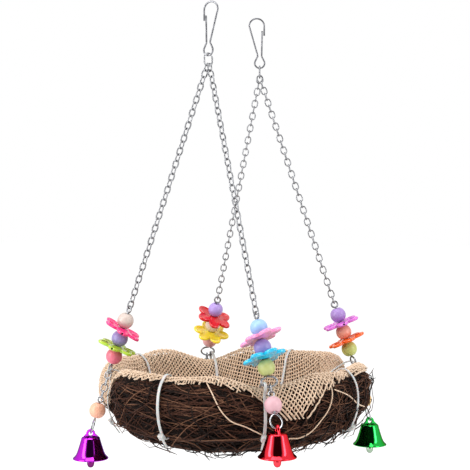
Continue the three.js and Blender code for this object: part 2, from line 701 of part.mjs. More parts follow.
function twigBowl() {
  const geometry = revolve([...bundledRows(), CREST, ...INNER_PROFILE], NEST_FACES);
  const place = geometry.attributes.position;
  for (let i = 0; i < place.count; i += 1) {
    const round = Math.hypot(place.getX(i), place.getY(i));
    if (round < 1e-6) continue;
    const angle = polarAngle(place.getX(i), place.getY(i));
    const [radius, level] = bundled(round, angle, place.getZ(i));
    const factor = drawnIn(radius, angle, level) / round;
    place.setXYZ(i, place.getX(i) * factor, place.getY(i) * factor, risen(angle, level));
  }
  return geometry;
}

// Radius of the wall at a level, from the profile's straight runs
function alongProfile(profile, level) {
  for (let i = 1; i < profile.length; i += 1) {
    const [r0, z0] = profile[i - 1];
    const [r1, z1] = profile[i];
    if ((level - z0) * (level - z1) <= 0) return r0 + ((r1 - r0) * (level - z0)) / (z1 - z0);
  }
  return profile.at(-1)[0];
}

function outerWall(angle, level) {
  return drawnIn(alongProfile([...OUTER_PROFILE, CREST], level), angle, level);
}

function innerWall(angle, level) {
  return drawnIn(alongProfile([CREST, ...INNER_PROFILE], level), angle, level);
}

// Burlap: one sheet over the floor, up the inside and over the crest to a hem that hangs unevenly.
// It lies on the wall at the ties and puffs up between them
const PUFFED_ROWS = 6;
const HANGING_ROWS = 3;
const HANGING_LIFT = 0.55;
function hemLevel(angle) {
  const hang = (centre, span, drop) => drop * Math.exp(-((apart(angle, centre) / span) ** 2));
  const left = hang(LEFT_HEM_AT, LEFT_HEM_SPAN, LEFT_HEM_DROP);
  return -(HEM_DROP + left + hang(FLAP_AT, FLAP_SPAN, FLAP_DROP));
}

function clothRows(angle) {
  const shoulder = Math.max(OUTER_PROFILE.at(-1)[1], 0.5 * hemLevel(angle));
  const rows = [...INNER_PROFILE].reverse();
  rows.push(CREST);
  for (const share of [0, 0.35, 0.7, 1]) {
    const level = shoulder + share * (hemLevel(angle) - shoulder);
    rows.push([alongProfile([...OUTER_PROFILE, CREST], level), level]);
  }
  return rows;
}

function clothRing(angle, lift) {
  const rows = clothRows(angle);
  const puff = (FOLD_HEIGHT * (1 - Math.cos(FOLD_COUNT * angle * DEGREE))) / 2;
  return rows.map(([radius, level], i) => {
    const [r0, z0] = rows[Math.max(i - 1, 0)];
    const [r1, z1] = rows[Math.min(i + 1, rows.length - 1)];
    const run = Math.hypot(r1 - r0, z1 - z0);
    const puffed = i >= rows.length - PUFFED_ROWS ? puff : 0;
    const hanging = i >= rows.length - HANGING_ROWS ? HANGING_LIFT : 0;
    const off = lift + puffed + hanging;
    const height = risen(angle, level) + ((r1 - r0) / run) * off;
    if (i === 0) return point(0, 0, level + off);
    const out = drawnIn(radius, angle, level) - ((z1 - z0) / run) * off;
    return point(out * Math.cos(angle * DEGREE), out * Math.sin(angle * DEGREE), height);
  });
}

function burlap() {
  const positions = [];
  const index = [];
  const under = [];
  const over = [];
  for (let i = 0; i < NEST_FACES; i += 1) {
    const angle = (360 * i) / NEST_FACES;
    under.push(clothRing(angle, CLOTH_LIFT));
    over.push(clothRing(angle, CLOTH_LIFT + CLOTH_THICKNESS));
  }
  const rowCount = over[0].length;
  for (const side of [over, under]) {
    side.flat().forEach((p) => positions.push(p.x, p.y, p.z));
  }
  const at = (side, i, row) => (side * NEST_FACES + (i % NEST_FACES)) * rowCount + row;
  for (let i = 0; i < NEST_FACES; i += 1) {
    for (let row = 0; row < rowCount - 1; row += 1) {
      index.push(at(0, i, row), at(0, i, row + 1), at(0, i + 1, row + 1));
      index.push(at(0, i, row), at(0, i + 1, row + 1), at(0, i + 1, row));
      index.push(at(1, i, row), at(1, i + 1, row + 1), at(1, i, row + 1));
      index.push(at(1, i, row), at(1, i + 1, row), at(1, i + 1, row + 1));
    }
    const hem = rowCount - 1;
    index.push(at(0, i, hem), at(1, i, hem), at(1, i + 1, hem));
    index.push(at(0, i, hem), at(1, i + 1, hem), at(0, i + 1, hem));
  }
  const geometry = new THREE.BufferGeometry();
  geometry.setAttribute('position', new THREE.Float32BufferAttribute(positions, 3));
  geometry.setIndex(index);
  return geometry;
}

// Cable tie in the XZ plane of its place on the rim: over the crest, or through a rim eye beside the
// link that hangs there, down both faces of the wall and through a slot low in it, head and tail outside
const tieStand = CLOTH_LIFT + HANGING_LIFT + CLOTH_THICKNESS + TIE_LIFT + TIE_THICKNESS / 2;
const linkTipHalf = linkPath()[0].x + halfWire;
const tieAside = linkTipHalf + LINK_PLAY + TIE_WIDTH / 2;

// Run of points moved off the wall, to the left of its direction, with mitred corners
function movedOff(points, distance) {
  return points.map((here, i) => {
    const arrive = here.clone().sub(points[Math.max(i - 1, 0)]).normalize();
    const leave = points[Math.min(i + 1, points.length - 1)].clone().sub(here).normalize();
    if (i === 0) arrive.copy(leave);
    if (i === points.length - 1) leave.copy(arrive);
    const off = point(-arrive.z - leave.z, 0, arrive.x + leave.x).normalize();
    const stretch = 1 / Math.max(off.dot(point(-arrive.z, 0, arrive.x)), 0.5);
    return here.clone().addScaledVector(off, distance * stretch);
  });
}

function wallPoint(wall, angle, level) {
  return point(wall(angle, level), 0, risen(angle, level));
}

// How far the wall stands out beside the middle of a tie's cinch, under a strap that lies aside
function flareAside(angle) {
  const facet = 360 / NEST_FACES;
  const rise = cinch(angle, 0) - cinch(angle + facet, 0);
  return (rise * (TIE_WIDTH / 2 + tieAside)) / (eyeRadiusOnRim * facet * DEGREE);
}

// Inside and outside of the wall at a tie, from the inner mouth of its slot over the crest to the outer
function tieRun(angle, throughEye) {
  const levelsAbove = (profile, drop) => profile.map(([, level]) => level).filter((level) => level > -drop);
  const inside = [-TIE_INNER_DROP, ...levelsAbove(INNER_PROFILE, TIE_INNER_DROP).reverse()];
  const outside = [...levelsAbove(OUTER_PROFILE, TIE_OUTER_DROP).reverse(), -TIE_OUTER_DROP];
  const crest = point(drawnIn(CREST[0], angle, CREST[1]), 0, risen(angle, CREST[1]));
  const stand = tieStand + (throughEye ? flareAside(angle) : 0);
  const innerRun = inside.map((level) => wallPoint(innerWall, angle, level));
  const outerRun = outside.map((level) => wallPoint(outerWall, angle, level));
  return { points: movedOff([...innerRun, crest, ...outerRun], stand), crestAt: innerRun.length };
}

// Way through the rim eye: above the link in it, out past its lowest wire and back to the wall
function throughRimEye() {
  const level = EYE_HEIGHT - TIE_THICKNESS / 2;
  const outerFace = eyeRadiusOnRim + EYE_CLEARING + TIE_THICKNESS / 2 + GAP;
  const below = EYE_HEIGHT - RIM_EYE_HEIGHT / 2 - EYE_UNDERCUT;
  const approach = eyeRadiusOnRim - EYE_APPROACH;
  return [point(approach, 0, level), point(outerFace, 0, level), point(outerFace, 0, below)];
}

function cableTie(angle, aside) {
  const throughEye = aside !== 0;
  const { points: run, crestAt } = tieRun(angle, throughEye);
  if (throughEye) run.splice(crestAt + 1, 0, ...throughRimEye());
  const strap = sweep(run, SIDEWAYS, flatSection(TIE_THICKNESS, TIE_WIDTH), { loop: true });
  const foot = run.at(-1);
  const above = run.at(-2);
  const slope = Math.atan2(above.x - foot.x, above.z - foot.z);
  const tail = new THREE.BoxGeometry(TIE_THICKNESS, TIE_WIDTH, TIE_TAIL);
  tail.translate(TIE_HEAD.depth / 2 - TIE_THICKNESS / 2, 0, TIE_THICKNESS - (TIE_HEAD.height + TIE_TAIL) / 2);
  const head = new THREE.BoxGeometry(TIE_HEAD.depth, TIE_HEAD.width, TIE_HEAD.height);
  const lock = joined(head, tail).rotateY(slope);
  const along = above.clone().sub(foot).normalize();
  const out = point(along.z, 0, -along.x);
  const seat = foot.clone().addScaledVector(along, TIE_HEAD.height);
  seat.addScaledVector(out, (TIE_HEAD.depth - TIE_THICKNESS) / 2);
  lock.translate(seat.x, 0, seat.z);
  return joined(strap, lock).translate(0, aside, 0);
}

function tieSlot(angle, aside) {
  const { points } = tieRun(angle, aside !== 0);
  const innerMouth = points[0];
  const outerMouth = points.at(-1);
  const run = outerMouth.clone().sub(innerMouth);
  const length = run.length() + 2 * tieStand;
  const slot = new THREE.BoxGeometry(length, TIE_WIDTH + TIE_SLOT_PLAY, TIE_THICKNESS + TIE_SLOT_PLAY);
  slot.rotateY(Math.atan2(-run.z, run.x));
  slot.translate((innerMouth.x + outerMouth.x) / 2, aside, (innerMouth.z + outerMouth.z) / 2);
  return slot.rotateZ(angle * DEGREE);
}

const bowl = new THREE.Group();
bowl.position.z = crestLevel;
nest.add(bowl);
const ties = Object.entries(SIDE_ANGLES).map(([name, angle]) => ({ name, angle, aside: 0 }));
for (const { name, degrees, tangent, top } of stations) {
  ties.push({ name: `${name}_tie`, angle: degrees, aside: tieAside * Math.sign(tangent.dot(top)) });
}
const slots = ties.map(({ angle, aside }) => tieSlot(angle, aside));
mesh('twig_basket', cutBy(twigBowl(), slots), TWIG, bowl);
mesh('burlap_liner', cutBy(burlap(), slots), BURLAP, bowl);
for (const { name, angle, aside } of ties) {
  mesh(name, cableTie(angle, aside), NYLON, bowl).rotation.z = angle * DEGREE;
}

export default nest;
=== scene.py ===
import bisect
import itertools
import json
import random
from math import asin, atan2, cos, degrees, exp, hypot, pi, radians, sin, sqrt

import bmesh
import bpy
from mathutils import Matrix, Vector, noise


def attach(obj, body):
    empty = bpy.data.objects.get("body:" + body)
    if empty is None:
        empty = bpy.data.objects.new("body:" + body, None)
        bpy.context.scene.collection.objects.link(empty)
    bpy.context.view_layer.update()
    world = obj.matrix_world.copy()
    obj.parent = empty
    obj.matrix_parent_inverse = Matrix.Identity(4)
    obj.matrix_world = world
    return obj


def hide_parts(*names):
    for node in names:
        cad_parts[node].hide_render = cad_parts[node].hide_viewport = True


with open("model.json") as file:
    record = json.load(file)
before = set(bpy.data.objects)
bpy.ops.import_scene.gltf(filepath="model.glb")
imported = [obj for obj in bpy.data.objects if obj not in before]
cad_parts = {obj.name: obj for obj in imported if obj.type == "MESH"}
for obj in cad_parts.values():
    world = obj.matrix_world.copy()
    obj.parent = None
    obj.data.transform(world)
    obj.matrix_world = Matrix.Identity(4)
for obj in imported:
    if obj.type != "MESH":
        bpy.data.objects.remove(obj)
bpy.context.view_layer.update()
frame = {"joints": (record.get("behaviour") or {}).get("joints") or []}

scene = bpy.context.scene
scene.view_settings.view_transform = "Standard"

# Camera, floor and light. The nest hangs level with the camera in a white studio: a tall soft lamp on
# each side of the camera, one above, and a bright backdrop that the plated wire and the bells reflect.
VIEW_AZIMUTH = radians(31.0)
VIEW_ELEVATION = radians(0.47)
VIEW_DISTANCE = 0.8256
VIEW_TARGET = Vector((0.0, 0.0, -0.1683))
FOCAL_PIXELS = 1094.9
FRAME_PIXELS = 470
SENSOR_WIDTH = 36.0
NEAREST_SEEN = 0.01
FLOOR_LEVEL = -0.43
FLOOR_SIZE = 12.0
LAMPS = {
    "left_softbox": {"turn": -62, "rise": 18, "away": 1.1, "size": (0.35, 1.1), "watts": 9.0},
    "right_softbox": {"turn": 58, "rise": 14, "away": 1.2, "size": (0.3, 1.0), "watts": 6.0},
    "top_softbox": {"turn": -10, "rise": 72, "away": 1.1, "size": (0.9, 0.9), "watts": 9.0},
}


def towards(turn, rise):
    """Unit vector from the nest at an angle round from the camera and above the horizon."""
    azimuth = VIEW_AZIMUTH + radians(turn)
    elevation = radians(rise)
    level = cos(elevation)
    return Vector((sin(azimuth) * level, -cos(azimuth) * level, sin(elevation)))


def linked(name, data):
    thing = bpy.data.objects.new(name, data)
    scene.collection.objects.link(thing)
    return thing


def aim(thing, side, distance):
    """Put a camera or a lamp to one side of the nest, facing it."""
    thing.location = VIEW_TARGET + distance * side
    thing.rotation_mode = "QUATERNION"
    thing.rotation_quaternion = (-side).to_track_quat("-Z", "Y")


camera = linked("camera", bpy.data.cameras.new("camera"))
camera.data.sensor_width = SENSOR_WIDTH
camera.data.lens = SENSOR_WIDTH * FOCAL_PIXELS / FRAME_PIXELS
camera.data.clip_start = NEAREST_SEEN
camera_side = towards(0, degrees(VIEW_ELEVATION))
aim(camera, camera_side, VIEW_DISTANCE)
scene.camera = camera

for lamp_name, lamp in LAMPS.items():
    light = bpy.data.lights.new(lamp_name, "AREA")
    light.shape = "RECTANGLE"
    light.size, light.size_y = lamp["size"]
    light.energy = lamp["watts"]
    aim(linked(lamp_name, light), towards(lamp["turn"], lamp["rise"]), lamp["away"])


def added(tree, kind, inputs, **settings):
    """Outputs of a new shader node. An input is a constant or another node's output."""
    node = tree.nodes.new(f"ShaderNode{kind}")
    for setting, value in settings.items():
        setattr(node, setting, value)
    for socket, value in inputs.items():
        if isinstance(value, bpy.types.NodeSocket):
            tree.links.new(value, node.inputs[socket])
        else:
            node.inputs[socket].default_value = value
    return node.outputs


def larger(tree, first, second):
    return added(tree, "Math", {0: first, 1: second}, operation="MAXIMUM")["Value"]


# Gloss shows a dark room in front of the nest. Its edge lies between two cosines off the camera's side
STUDIO_LIGHT = 0.8
FRONT_GLOSS = 0.02
FRONT_EDGE = (0.70, 0.86)
WHITE = (1.0, 1.0, 1.0, 1.0)
world = bpy.data.worlds.new("studio")
world.use_nodes = True
scene.world = world
tree = world.node_tree
ray = added(tree, "TexCoord", {})["Generated"]
level_ray = added(tree, "VectorMath", {0: ray, 1: (1.0, 1.0, 0.0)}, operation="MULTIPLY")["Vector"]
unit_ray = added(tree, "VectorMath", {0: level_ray}, operation="NORMALIZE")["Vector"]
facing = added(tree, "VectorMath", {0: unit_ray, 1: camera_side}, operation="DOT_PRODUCT")["Value"]
room = added(
    tree, "MapRange",
    {
        "Value": facing, "From Min": FRONT_EDGE[0], "From Max": FRONT_EDGE[1],
        "To Min": 1.0, "To Max": FRONT_GLOSS,
    },
    interpolation_type="SMOOTHSTEP",
)["Result"]
rays = added(tree, "LightPath", {})
clear_view = larger(tree, rays["Is Camera Ray"], rays["Is Transmission Ray"])
gloss = added(tree, "Mix", {"Factor": rays["Is Glossy Ray"], "A": STUDIO_LIGHT, "B": room})["Result"]
shown = added(tree, "Mix", {"Factor": clear_view, "A": gloss, "B": 1.0})["Result"]
background = tree.nodes["Background"]
background.inputs["Color"].default_value = WHITE
tree.links.new(shown, background.inputs["Strength"])

PAPER_COLOUR = (0.86, 0.86, 0.86, 1.0)
PAPER_ROUGHNESS = 0.9
PAPER_GLOW = 1.3
GLOW_SHARE = 0.55
floor_mesh = bpy.data.meshes.new("floor")
bm = bmesh.new()
bmesh.ops.create_grid(bm, x_segments=1, y_segments=1, size=FLOOR_SIZE)
bmesh.ops.translate(bm, verts=bm.verts, vec=(0, 0, FLOOR_LEVEL))
bm.to_mesh(floor_mesh)
bm.free()
floor = linked("floor", floor_mesh)
paper = bpy.data.materials.new("white_paper")
paper.use_nodes = True
tree = paper.node_tree
matt = tree.nodes["Principled BSDF"]
matt.inputs["Base Color"].default_value = PAPER_COLOUR
matt.inputs["Roughness"].default_value = PAPER_ROUGHNESS
glow = added(tree, "Emission", {"Color": WHITE, "Strength": PAPER_GLOW})["Emission"]
rays = added(tree, "LightPath", {})
seen = larger(tree, rays["Is Camera Ray"], rays["Is Glossy Ray"])
seen = larger(tree, seen, rays["Is Transmission Ray"])
lit_share = added(tree, "Math", {0: seen, 1: GLOW_SHARE}, operation="MULTIPLY")["Value"]
blend = added(tree, "MixShader", {"Fac": lit_share, 1: matt.outputs["BSDF"], 2: glow})["Shader"]
tree.links.new(blend, tree.nodes["Material Output"].inputs["Surface"])
floor_mesh.materials.append(paper)

# Snap hooks. Each is one length of plated spring wire: a bow that hangs on a bar, a straight back, a
# neck and a closed eye below it. They are bent cold and left bright.
HOOK_SPACING = 0.075
HOOK_LENGTH = 0.040
HOOK_WIRE = 0.0013
BOW_WIDTH = 0.013
BOW_OFFSET = 0.0023
BOW_TIP_REACH = 0.0075
HOOK_EYE_WIDTH = 0.009
NECK_HEIGHT = 0.010
NECK_SPREAD = 0.0031
NECK_BEND = 0.0012
EYE_START = 151
GATE_OVERLAP = 0.0036
GAP = 0.0003
SPOT_RANGE = (0.3, 0.72)
GRAIN_RATIO = 4.0
MERGE_DISTANCE = 1e-7
HOOKS = {
    "front": {"y": -HOOK_SPACING / 2, "yaw": 0.0, "mirror": -1},
    "back": {"y": HOOK_SPACING / 2, "yaw": radians(31), "mirror": 1},
}


def linear(code):
    """Linear colour with alpha from a six-digit sRGB code."""
    parts = [int(code[i:i + 2], 16) / 255 for i in (0, 2, 4)]
    return (*[c / 12.92 if c <= 0.04045 else ((c + 0.055) / 1.055) ** 2.4 for c in parts], 1.0)


def mottle_group():
    """Soft spots and fine grain over a surface, for colour, roughness and bump."""
    group = bpy.data.node_groups.new("mottle", "ShaderNodeTree")
    sockets = {
        "INPUT": {"Colour": "Color", "Shade": "Color", "Scale": "Float", "Strength": "Float"},
        "OUTPUT": {"Colour": "Color", "Mask": "Float", "Height": "Float"},
    }
    for way, kinds in sockets.items():
        for socket, kind in kinds.items():
            group.interface.new_socket(socket, in_out=way, socket_type=f"NodeSocket{kind}")
    given = group.nodes.new("NodeGroupInput").outputs
    result = group.nodes.new("NodeGroupOutput").inputs
    place = added(group, "TexCoord", {})["Object"]
    spots = added(group, "TexNoise", {"Detail": 5.0, "Vector": place, "Scale": given["Scale"]})["Fac"]
    low, high = SPOT_RANGE
    mask = added(group, "MapRange", {"From Min": low, "From Max": high, "Value": spots})["Result"]
    amount = added(group, "Math", {0: mask, 1: given["Strength"]}, operation="MULTIPLY")["Value"]
    tint = added(
        group, "Mix", {"Factor": amount, "A": given["Colour"], "B": given["Shade"]}, data_type="RGBA"
    )["Result"]
    finer = added(group, "Math", {0: given["Scale"], 1: GRAIN_RATIO}, operation="MULTIPLY")["Value"]
    grain = added(group, "TexNoise", {"Detail": 3.0, "Vector": place, "Scale": finer})["Fac"]
    for socket, value in (("Colour", tint), ("Mask", mask), ("Height", grain)):
        group.links.new(value, result[socket])
    return group


MOTTLE = mottle_group()


def finish_of(name, colour, shade, scale, strength, roughness, bump=0.0, **sockets):
    """Material with mottled colour and roughness. roughness is its lowest and highest value."""
    material = bpy.data.materials.new(name)
    material.use_nodes = True
    tree = material.node_tree
    shader = tree.nodes["Principled BSDF"].inputs
    tones = {"Colour": linear(colour), "Shade": linear(shade), "Scale": scale, "Strength": strength}
    mottle = added(tree, "Group", tones, node_tree=MOTTLE)
    tree.links.new(mottle["Colour"], shader["Base Color"])
    low, high = roughness
    rough = added(tree, "MapRange", {"To Min": low, "To Max": high, "Value": mottle["Mask"]})
    tree.links.new(rough["Result"], shader["Roughness"])
    if bump:
        relief = added(tree, "Bump", {"Distance": bump, "Height": mottle["Height"]})
        tree.links.new(relief["Normal"], shader["Normal"])
    for socket, value in sockets.items():
        shader[socket.replace("_", " ")].default_value = value
    return material


spring_wire = finish_of("spring_wire", "909195", "3c3d41", 420.0, 0.75, (0.15, 0.3), Metallic=1.0)


def piece_from(name, bm, material, body, node=None, place=Matrix()):
    """Finished piece from a bmesh: put in place, faces turned out, smooth, riding on its body."""
    bmesh.ops.transform(bm, matrix=place, verts=bm.verts)
    bmesh.ops.remove_doubles(bm, verts=bm.verts, dist=MERGE_DISTANCE)
    bmesh.ops.recalc_face_normals(bm, faces=bm.faces)
    for face in bm.faces:
        face.smooth = True
    mesh = bpy.data.meshes.new(name)
    bm.to_mesh(mesh)
    bm.free()
    mesh.materials.append(material)
    piece = linked(name, mesh)
    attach(piece, body)
    if node:
        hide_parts(node)
    return piece


def bent_wire(paths, radius, resolution, closed=False, thickness=None, flat=0.0, smooth=0):
    """bmesh of wire along paths of points. thickness has a list of shares of the radius for each path."""
    curve = bpy.data.curves.new("wire", "CURVE")
    curve.dimensions = "2D" if flat else "3D"
    curve.fill_mode = "NONE" if flat else "FULL"
    curve.bevel_depth = radius
    curve.bevel_resolution = resolution
    curve.extrude = flat
    curve.use_fill_caps = True
    for i, points in enumerate(paths):
        if smooth:
            spline = curve.splines.new("BEZIER")
            spline.bezier_points.add(len(points) - 1)
            spline.resolution_u = smooth
            for knot, point in zip(spline.bezier_points, points):
                knot.co = point
                knot.handle_left_type = knot.handle_right_type = "AUTO"
        else:
            spline = curve.splines.new("POLY")
            spline.points.add(len(points) - 1)
            spline.points.foreach_set("co", [c for point in points for c in (*point, 1.0)])
            if thickness:
                spline.points.foreach_set("radius", thickness[i])
        spline.use_cyclic_u = closed
    holder = linked("wire", curve)
    bpy.context.view_layer.update()
    mesh = bpy.data.meshes.new_from_object(holder.evaluated_get(bpy.context.evaluated_depsgraph_get()))
    bpy.data.objects.remove(holder)
    bpy.data.curves.remove(curve)
    bm = bmesh.new()
    bm.from_mesh(mesh)
    bpy.data.meshes.remove(mesh)
    return bm


def arc(x, z, radius, start, end, steps):
    """Points of an arc in the plane y = 0, from one angle to another in degrees."""
    angles = [radians(start + (end - start) * i / steps) for i in range(steps + 1)]
    return [Vector((x + radius * cos(a), 0.0, z + radius * sin(a))) for a in angles]


bow_radius = (BOW_WIDTH - HOOK_WIRE) / 2
bow_level = HOOK_WIRE / 2 - bow_radius
hook_bottom = HOOK_WIRE - HOOK_LENGTH
hook_eye_radius = (HOOK_EYE_WIDTH - HOOK_WIRE) / 2
hook_eye_level = hook_bottom + HOOK_WIRE / 2 + hook_eye_radius
neck_level = hook_bottom + NECK_HEIGHT
hook_path = [
    Vector((bow_radius - BOW_OFFSET, 0.0, bow_level - BOW_TIP_REACH)),
    *arc(-BOW_OFFSET, bow_level, bow_radius, 0, 180, 26),
    Vector((-NECK_SPREAD / 2 - NECK_BEND / 6, 0.0, neck_level + NECK_BEND)),
    Vector((-NECK_SPREAD / 2, 0.0, neck_level)),
    *arc(0.0, hook_eye_level, hook_eye_radius, EYE_START, 540 - EYE_START, 28),
    Vector((NECK_SPREAD / 2, 0.0, neck_level - NECK_BEND / 12)),
    Vector((NECK_SPREAD / 2, 0.0, neck_level)),
]


def hook_place(hook):
    """Matrix from a hook's own plane to the frame."""
    turn = Matrix.Rotation(hook["yaw"], 4, "Z")
    return Matrix.Translation((0.0, hook["y"], 0.0)) @ turn @ Matrix.Scale(hook["mirror"], 4, (1, 0, 0))


for side, hook in HOOKS.items():
    bm = bent_wire([hook_path], HOOK_WIRE / 2, 4)
    piece_from(f"{side}_snap_hook", bm, spring_wire, "hooks", f"{side}_hook", hook_place(hook))

# Hook gates. The free end of the hook's wire springs against the inside of the bow's tip and closes it.
# It rides on the gate's own body, which turns at the neck.
gate_side = bow_radius - BOW_OFFSET - HOOK_WIRE - GAP
gate_top = Vector((gate_side, 0.0, bow_level - BOW_TIP_REACH + GATE_OVERLAP))
gate_foot = Vector((NECK_SPREAD / 2, 0.0, neck_level + GAP))
gate_path = [gate_foot, gate_foot.lerp(gate_top, 0.5), gate_top]
for side, hook in HOOKS.items():
    bm = bent_wire([gate_path], HOOK_WIRE / 2, 4)
    gate = f"{side}_gate"
    piece_from(f"{side}_hook_gate", bm, spring_wire, gate, gate, hook_place(hook))

# Oval rings. A ring of plated wire hangs in each hook's eye, and two chains hang in each ring. Both turn
# with the nest about the line through the two eyes.
RING_WIDTH = 0.008
RING_HEIGHT = 0.0105
RING_WIRE = 0.0012
plated_wire = finish_of("plated_wire", "a2a3a6", "5e5f63", 420.0, 0.6, (0.18, 0.36), Metallic=1.0)
RING_YAW = {"front": 66, "back": 121}
joint_of = {joint["name"]: joint for joint in frame["joints"]}


def anchor(joint):
    return Vector(joint_of[joint]["pos_m"])


def oval(width, height, steps):
    """Closed oval of a wire's middle in the plane y = 0, about its own centre."""
    radius = width / 2
    straight = height / 2 - radius
    return arc(0.0, straight, radius, 0, 180, steps) + arc(0.0, -straight, radius, 180, 360, steps)


for side, hook in HOOKS.items():
    drop = RING_HEIGHT - RING_WIRE
    bm = bent_wire([oval(RING_WIDTH - RING_WIRE, drop, 14)], RING_WIRE / 2, 4, closed=True)
    centre = Vector((0.0, hook["y"], anchor("nest_swing").z - drop / 2))
    place = Matrix.Translation(centre) @ Matrix.Rotation(radians(RING_YAW[side]), 4, "Z")
    piece_from(f"{side}_oval_ring", bm, plated_wire, "nest", f"{side}_ring", place)

# Chains. Oval links of plated wire, each turned a quarter from the last, run from a ring to each corner.
# A leg's frame has its Z up the chain; levels are measured from the middle of its upper bead.
LEGS = ("front_left", "front_right", "back_right", "back_left")
STATION = {"front_right": -45, "back_right": 45, "back_left": 135, "front_left": -135}
LINK_LENGTH = 0.0071
LINK_WIDTH = 0.0054
LINK_WIRE = 0.0011
LINK_PLAY = 0.0005
CHAIN_LINKS = 38
BEAD_LENGTH = 0.0106
PIN_WIRE = 0.0014
TOP_EYE_RADIUS = 0.0024
link_pitch = LINK_LENGTH - 2 * LINK_WIRE
link_oval = oval(LINK_WIDTH - LINK_WIRE, LINK_LENGTH - LINK_WIRE, 5)


def axis(joint):
    return Vector(joint_of[joint]["axis"]).normalized()


def basis(origin, x_axis, y_axis, z_axis):
    """Matrix of a frame with these axes at origin."""
    turn = Matrix((x_axis, y_axis, z_axis)).transposed().to_4x4()
    return Matrix.Translation(origin) @ turn


UP = Vector((0, 0, 1))


def outwards(angle):
    """Unit vector out from the nest's middle at an angle in degrees."""
    turn = radians(angle)
    return Vector((cos(turn), sin(turn), 0.0))


def leg_frame(leg):
    rise = axis(f"{leg}_bead_upper_spin")
    side = rise.cross(outwards(RING_YAW[leg.split("_")[0]])).normalized()
    return basis(anchor(f"{leg}_bead_upper_spin"), side, rise.cross(side), rise)


def link_chain(count, top):
    """bmesh of a chain's links down from the level of its top."""
    paths = []
    for i in range(count):
        turn = Matrix.Rotation(i % 2 * pi / 2, 4, "Z")
        place = Matrix.Translation((0, 0, top - (i + 0.5) * link_pitch)) @ turn
        paths.append([place @ point for point in link_oval])
    return bent_wire(paths, LINK_WIRE / 2, 1, closed=True)


top_eye_level = BEAD_LENGTH / 2 + GAP + PIN_WIRE / 2 + TOP_EYE_RADIUS
chain_end = top_eye_level + TOP_EYE_RADIUS - PIN_WIRE / 2 - LINK_PLAY
chain_top = chain_end + CHAIN_LINKS * link_pitch
for leg in LEGS:
    bm = link_chain(CHAIN_LINKS, chain_top)
    piece_from(f"{leg}_link_chain", bm, plated_wire, "nest", f"{leg}_chain", leg_frame(leg))

# Eye pins. A wire runs through each stack of beads: an eye above for the chain's last link, and a wide
# eye below that is tied to the rim and carries the drop.
RIM_EYE_WIDTH = 0.0126
RIM_EYE_HEIGHT = 0.0084
EYE_SWEEP = 346
EYE_STEPS = 26
FLOWER_THICKNESS = 0.0026
bead_step = BEAD_LENGTH + FLOWER_THICKNESS + 2 * GAP
rim_eye_level = -2 * bead_step - BEAD_LENGTH / 2 - GAP - RIM_EYE_HEIGHT / 2


def eye_run(direction, half_width, half_height, level, towards_top):
    """Open eye of wire whose bend starts on the shank, in the plane of direction and Z."""
    angles = [radians(EYE_SWEEP * i / EYE_STEPS) for i in range(EYE_STEPS + 1)]
    return [
        direction * (sin(a) * half_width)
        + Vector((0, 0, level - cos(a) * half_height * towards_top)) for a in angles
    ]


rim_eye_wide = (RIM_EYE_WIDTH - PIN_WIRE) / 2
rim_eye_tall = (RIM_EYE_HEIGHT - PIN_WIRE) / 2
for leg in LEGS:
    place = leg_frame(leg)
    along_rim = place.to_3x3().inverted() @ UP.cross(outwards(STATION[leg]))
    along_rim.z = 0.0
    along_rim.normalize()
    top_eye = eye_run(Vector((1, 0, 0)), TOP_EYE_RADIUS, TOP_EYE_RADIUS, top_eye_level, 1)
    rim_eye = eye_run(along_rim, rim_eye_wide, rim_eye_tall, rim_eye_level, -1)
    bm = bent_wire([top_eye[::-1] + rim_eye], PIN_WIRE / 2, 3)
    piece_from(f"{leg}_eye_pin", bm, plated_wire, "nest", f"{leg}_pin", place)

# Wooden beads. Turned from beech, bored through, dipped in thick satin paint that softens the edges of
# the bore; a faint grain shows through it.
BEAD_DIAMETER = 0.012
BEAD_BORE = 0.0036
BEAD_ROUND = 0.0007
# Middle of the rounded edge at the bore, as shares of its width out and down
EDGE_MIDDLE = (0.3, 0.25)
BEAD_STEPS = 16
BEAD_SIDES = 32
BEAD_COLOURS = {
    "front_left": ("c4b3aa", "9488c2", "dd6c82", "eeae90"),
    "front_right": ("90b6e4", "9286c4", "aeb46f", "cb9fa7"),
    "back_right": ("9a7abb", "e09884", "bcc26c", "e0b878"),
    "back_left": ("a88cd0", "dcc8b4", "dfa4a6", "94b4de"),
}


def lathe(profile, steps):
    """bmesh of a profile of (radius, level) turned about Z. A closed profile repeats its first point."""
    bm = bmesh.new()
    knots = [bm.verts.new((radius, 0.0, level)) for radius, level in profile]
    edges = [bm.edges.new(pair) for pair in zip(knots, knots[1:])]
    bmesh.ops.spin(
        bm, geom=knots + edges, axis=(0, 0, 1), cent=(0, 0, 0), dvec=(0, 0, 0), angle=2 * pi,
        steps=steps, use_merge=True,
    )
    bmesh.ops.remove_doubles(bm, verts=bm.verts, dist=MERGE_DISTANCE)
    return bm


def bead_profile():
    radius, half, bore = BEAD_DIAMETER / 2, BEAD_LENGTH / 2, BEAD_BORE / 2
    limit = degrees(asin(half / radius))
    out, down = EDGE_MIDDLE
    edge = [(bore, half - BEAD_ROUND), (bore + out * BEAD_ROUND, half - down * BEAD_ROUND)]
    edge.append((bore + BEAD_ROUND, half))
    profile = [(r, -level) for r, level in edge]
    for i in range(BEAD_STEPS + 1):
        angle = radians(-limit + 2 * limit * i / BEAD_STEPS)
        profile.append((radius * cos(angle), radius * sin(angle)))
    return profile + edge[::-1] + profile[:1]


def deeper(colour, share):
    """Colour code with each part at a share of its value."""
    return "".join(f"{int(int(colour[i:i + 2], 16) * share):02x}" for i in (0, 2, 4))


def painted_wood(name, colour):
    return finish_of(
        name, colour, deeper(colour, 0.86), 260.0, 0.5, (0.34, 0.5), 0.00006,
        Coat_Weight=0.15, Coat_Roughness=0.3,
    )


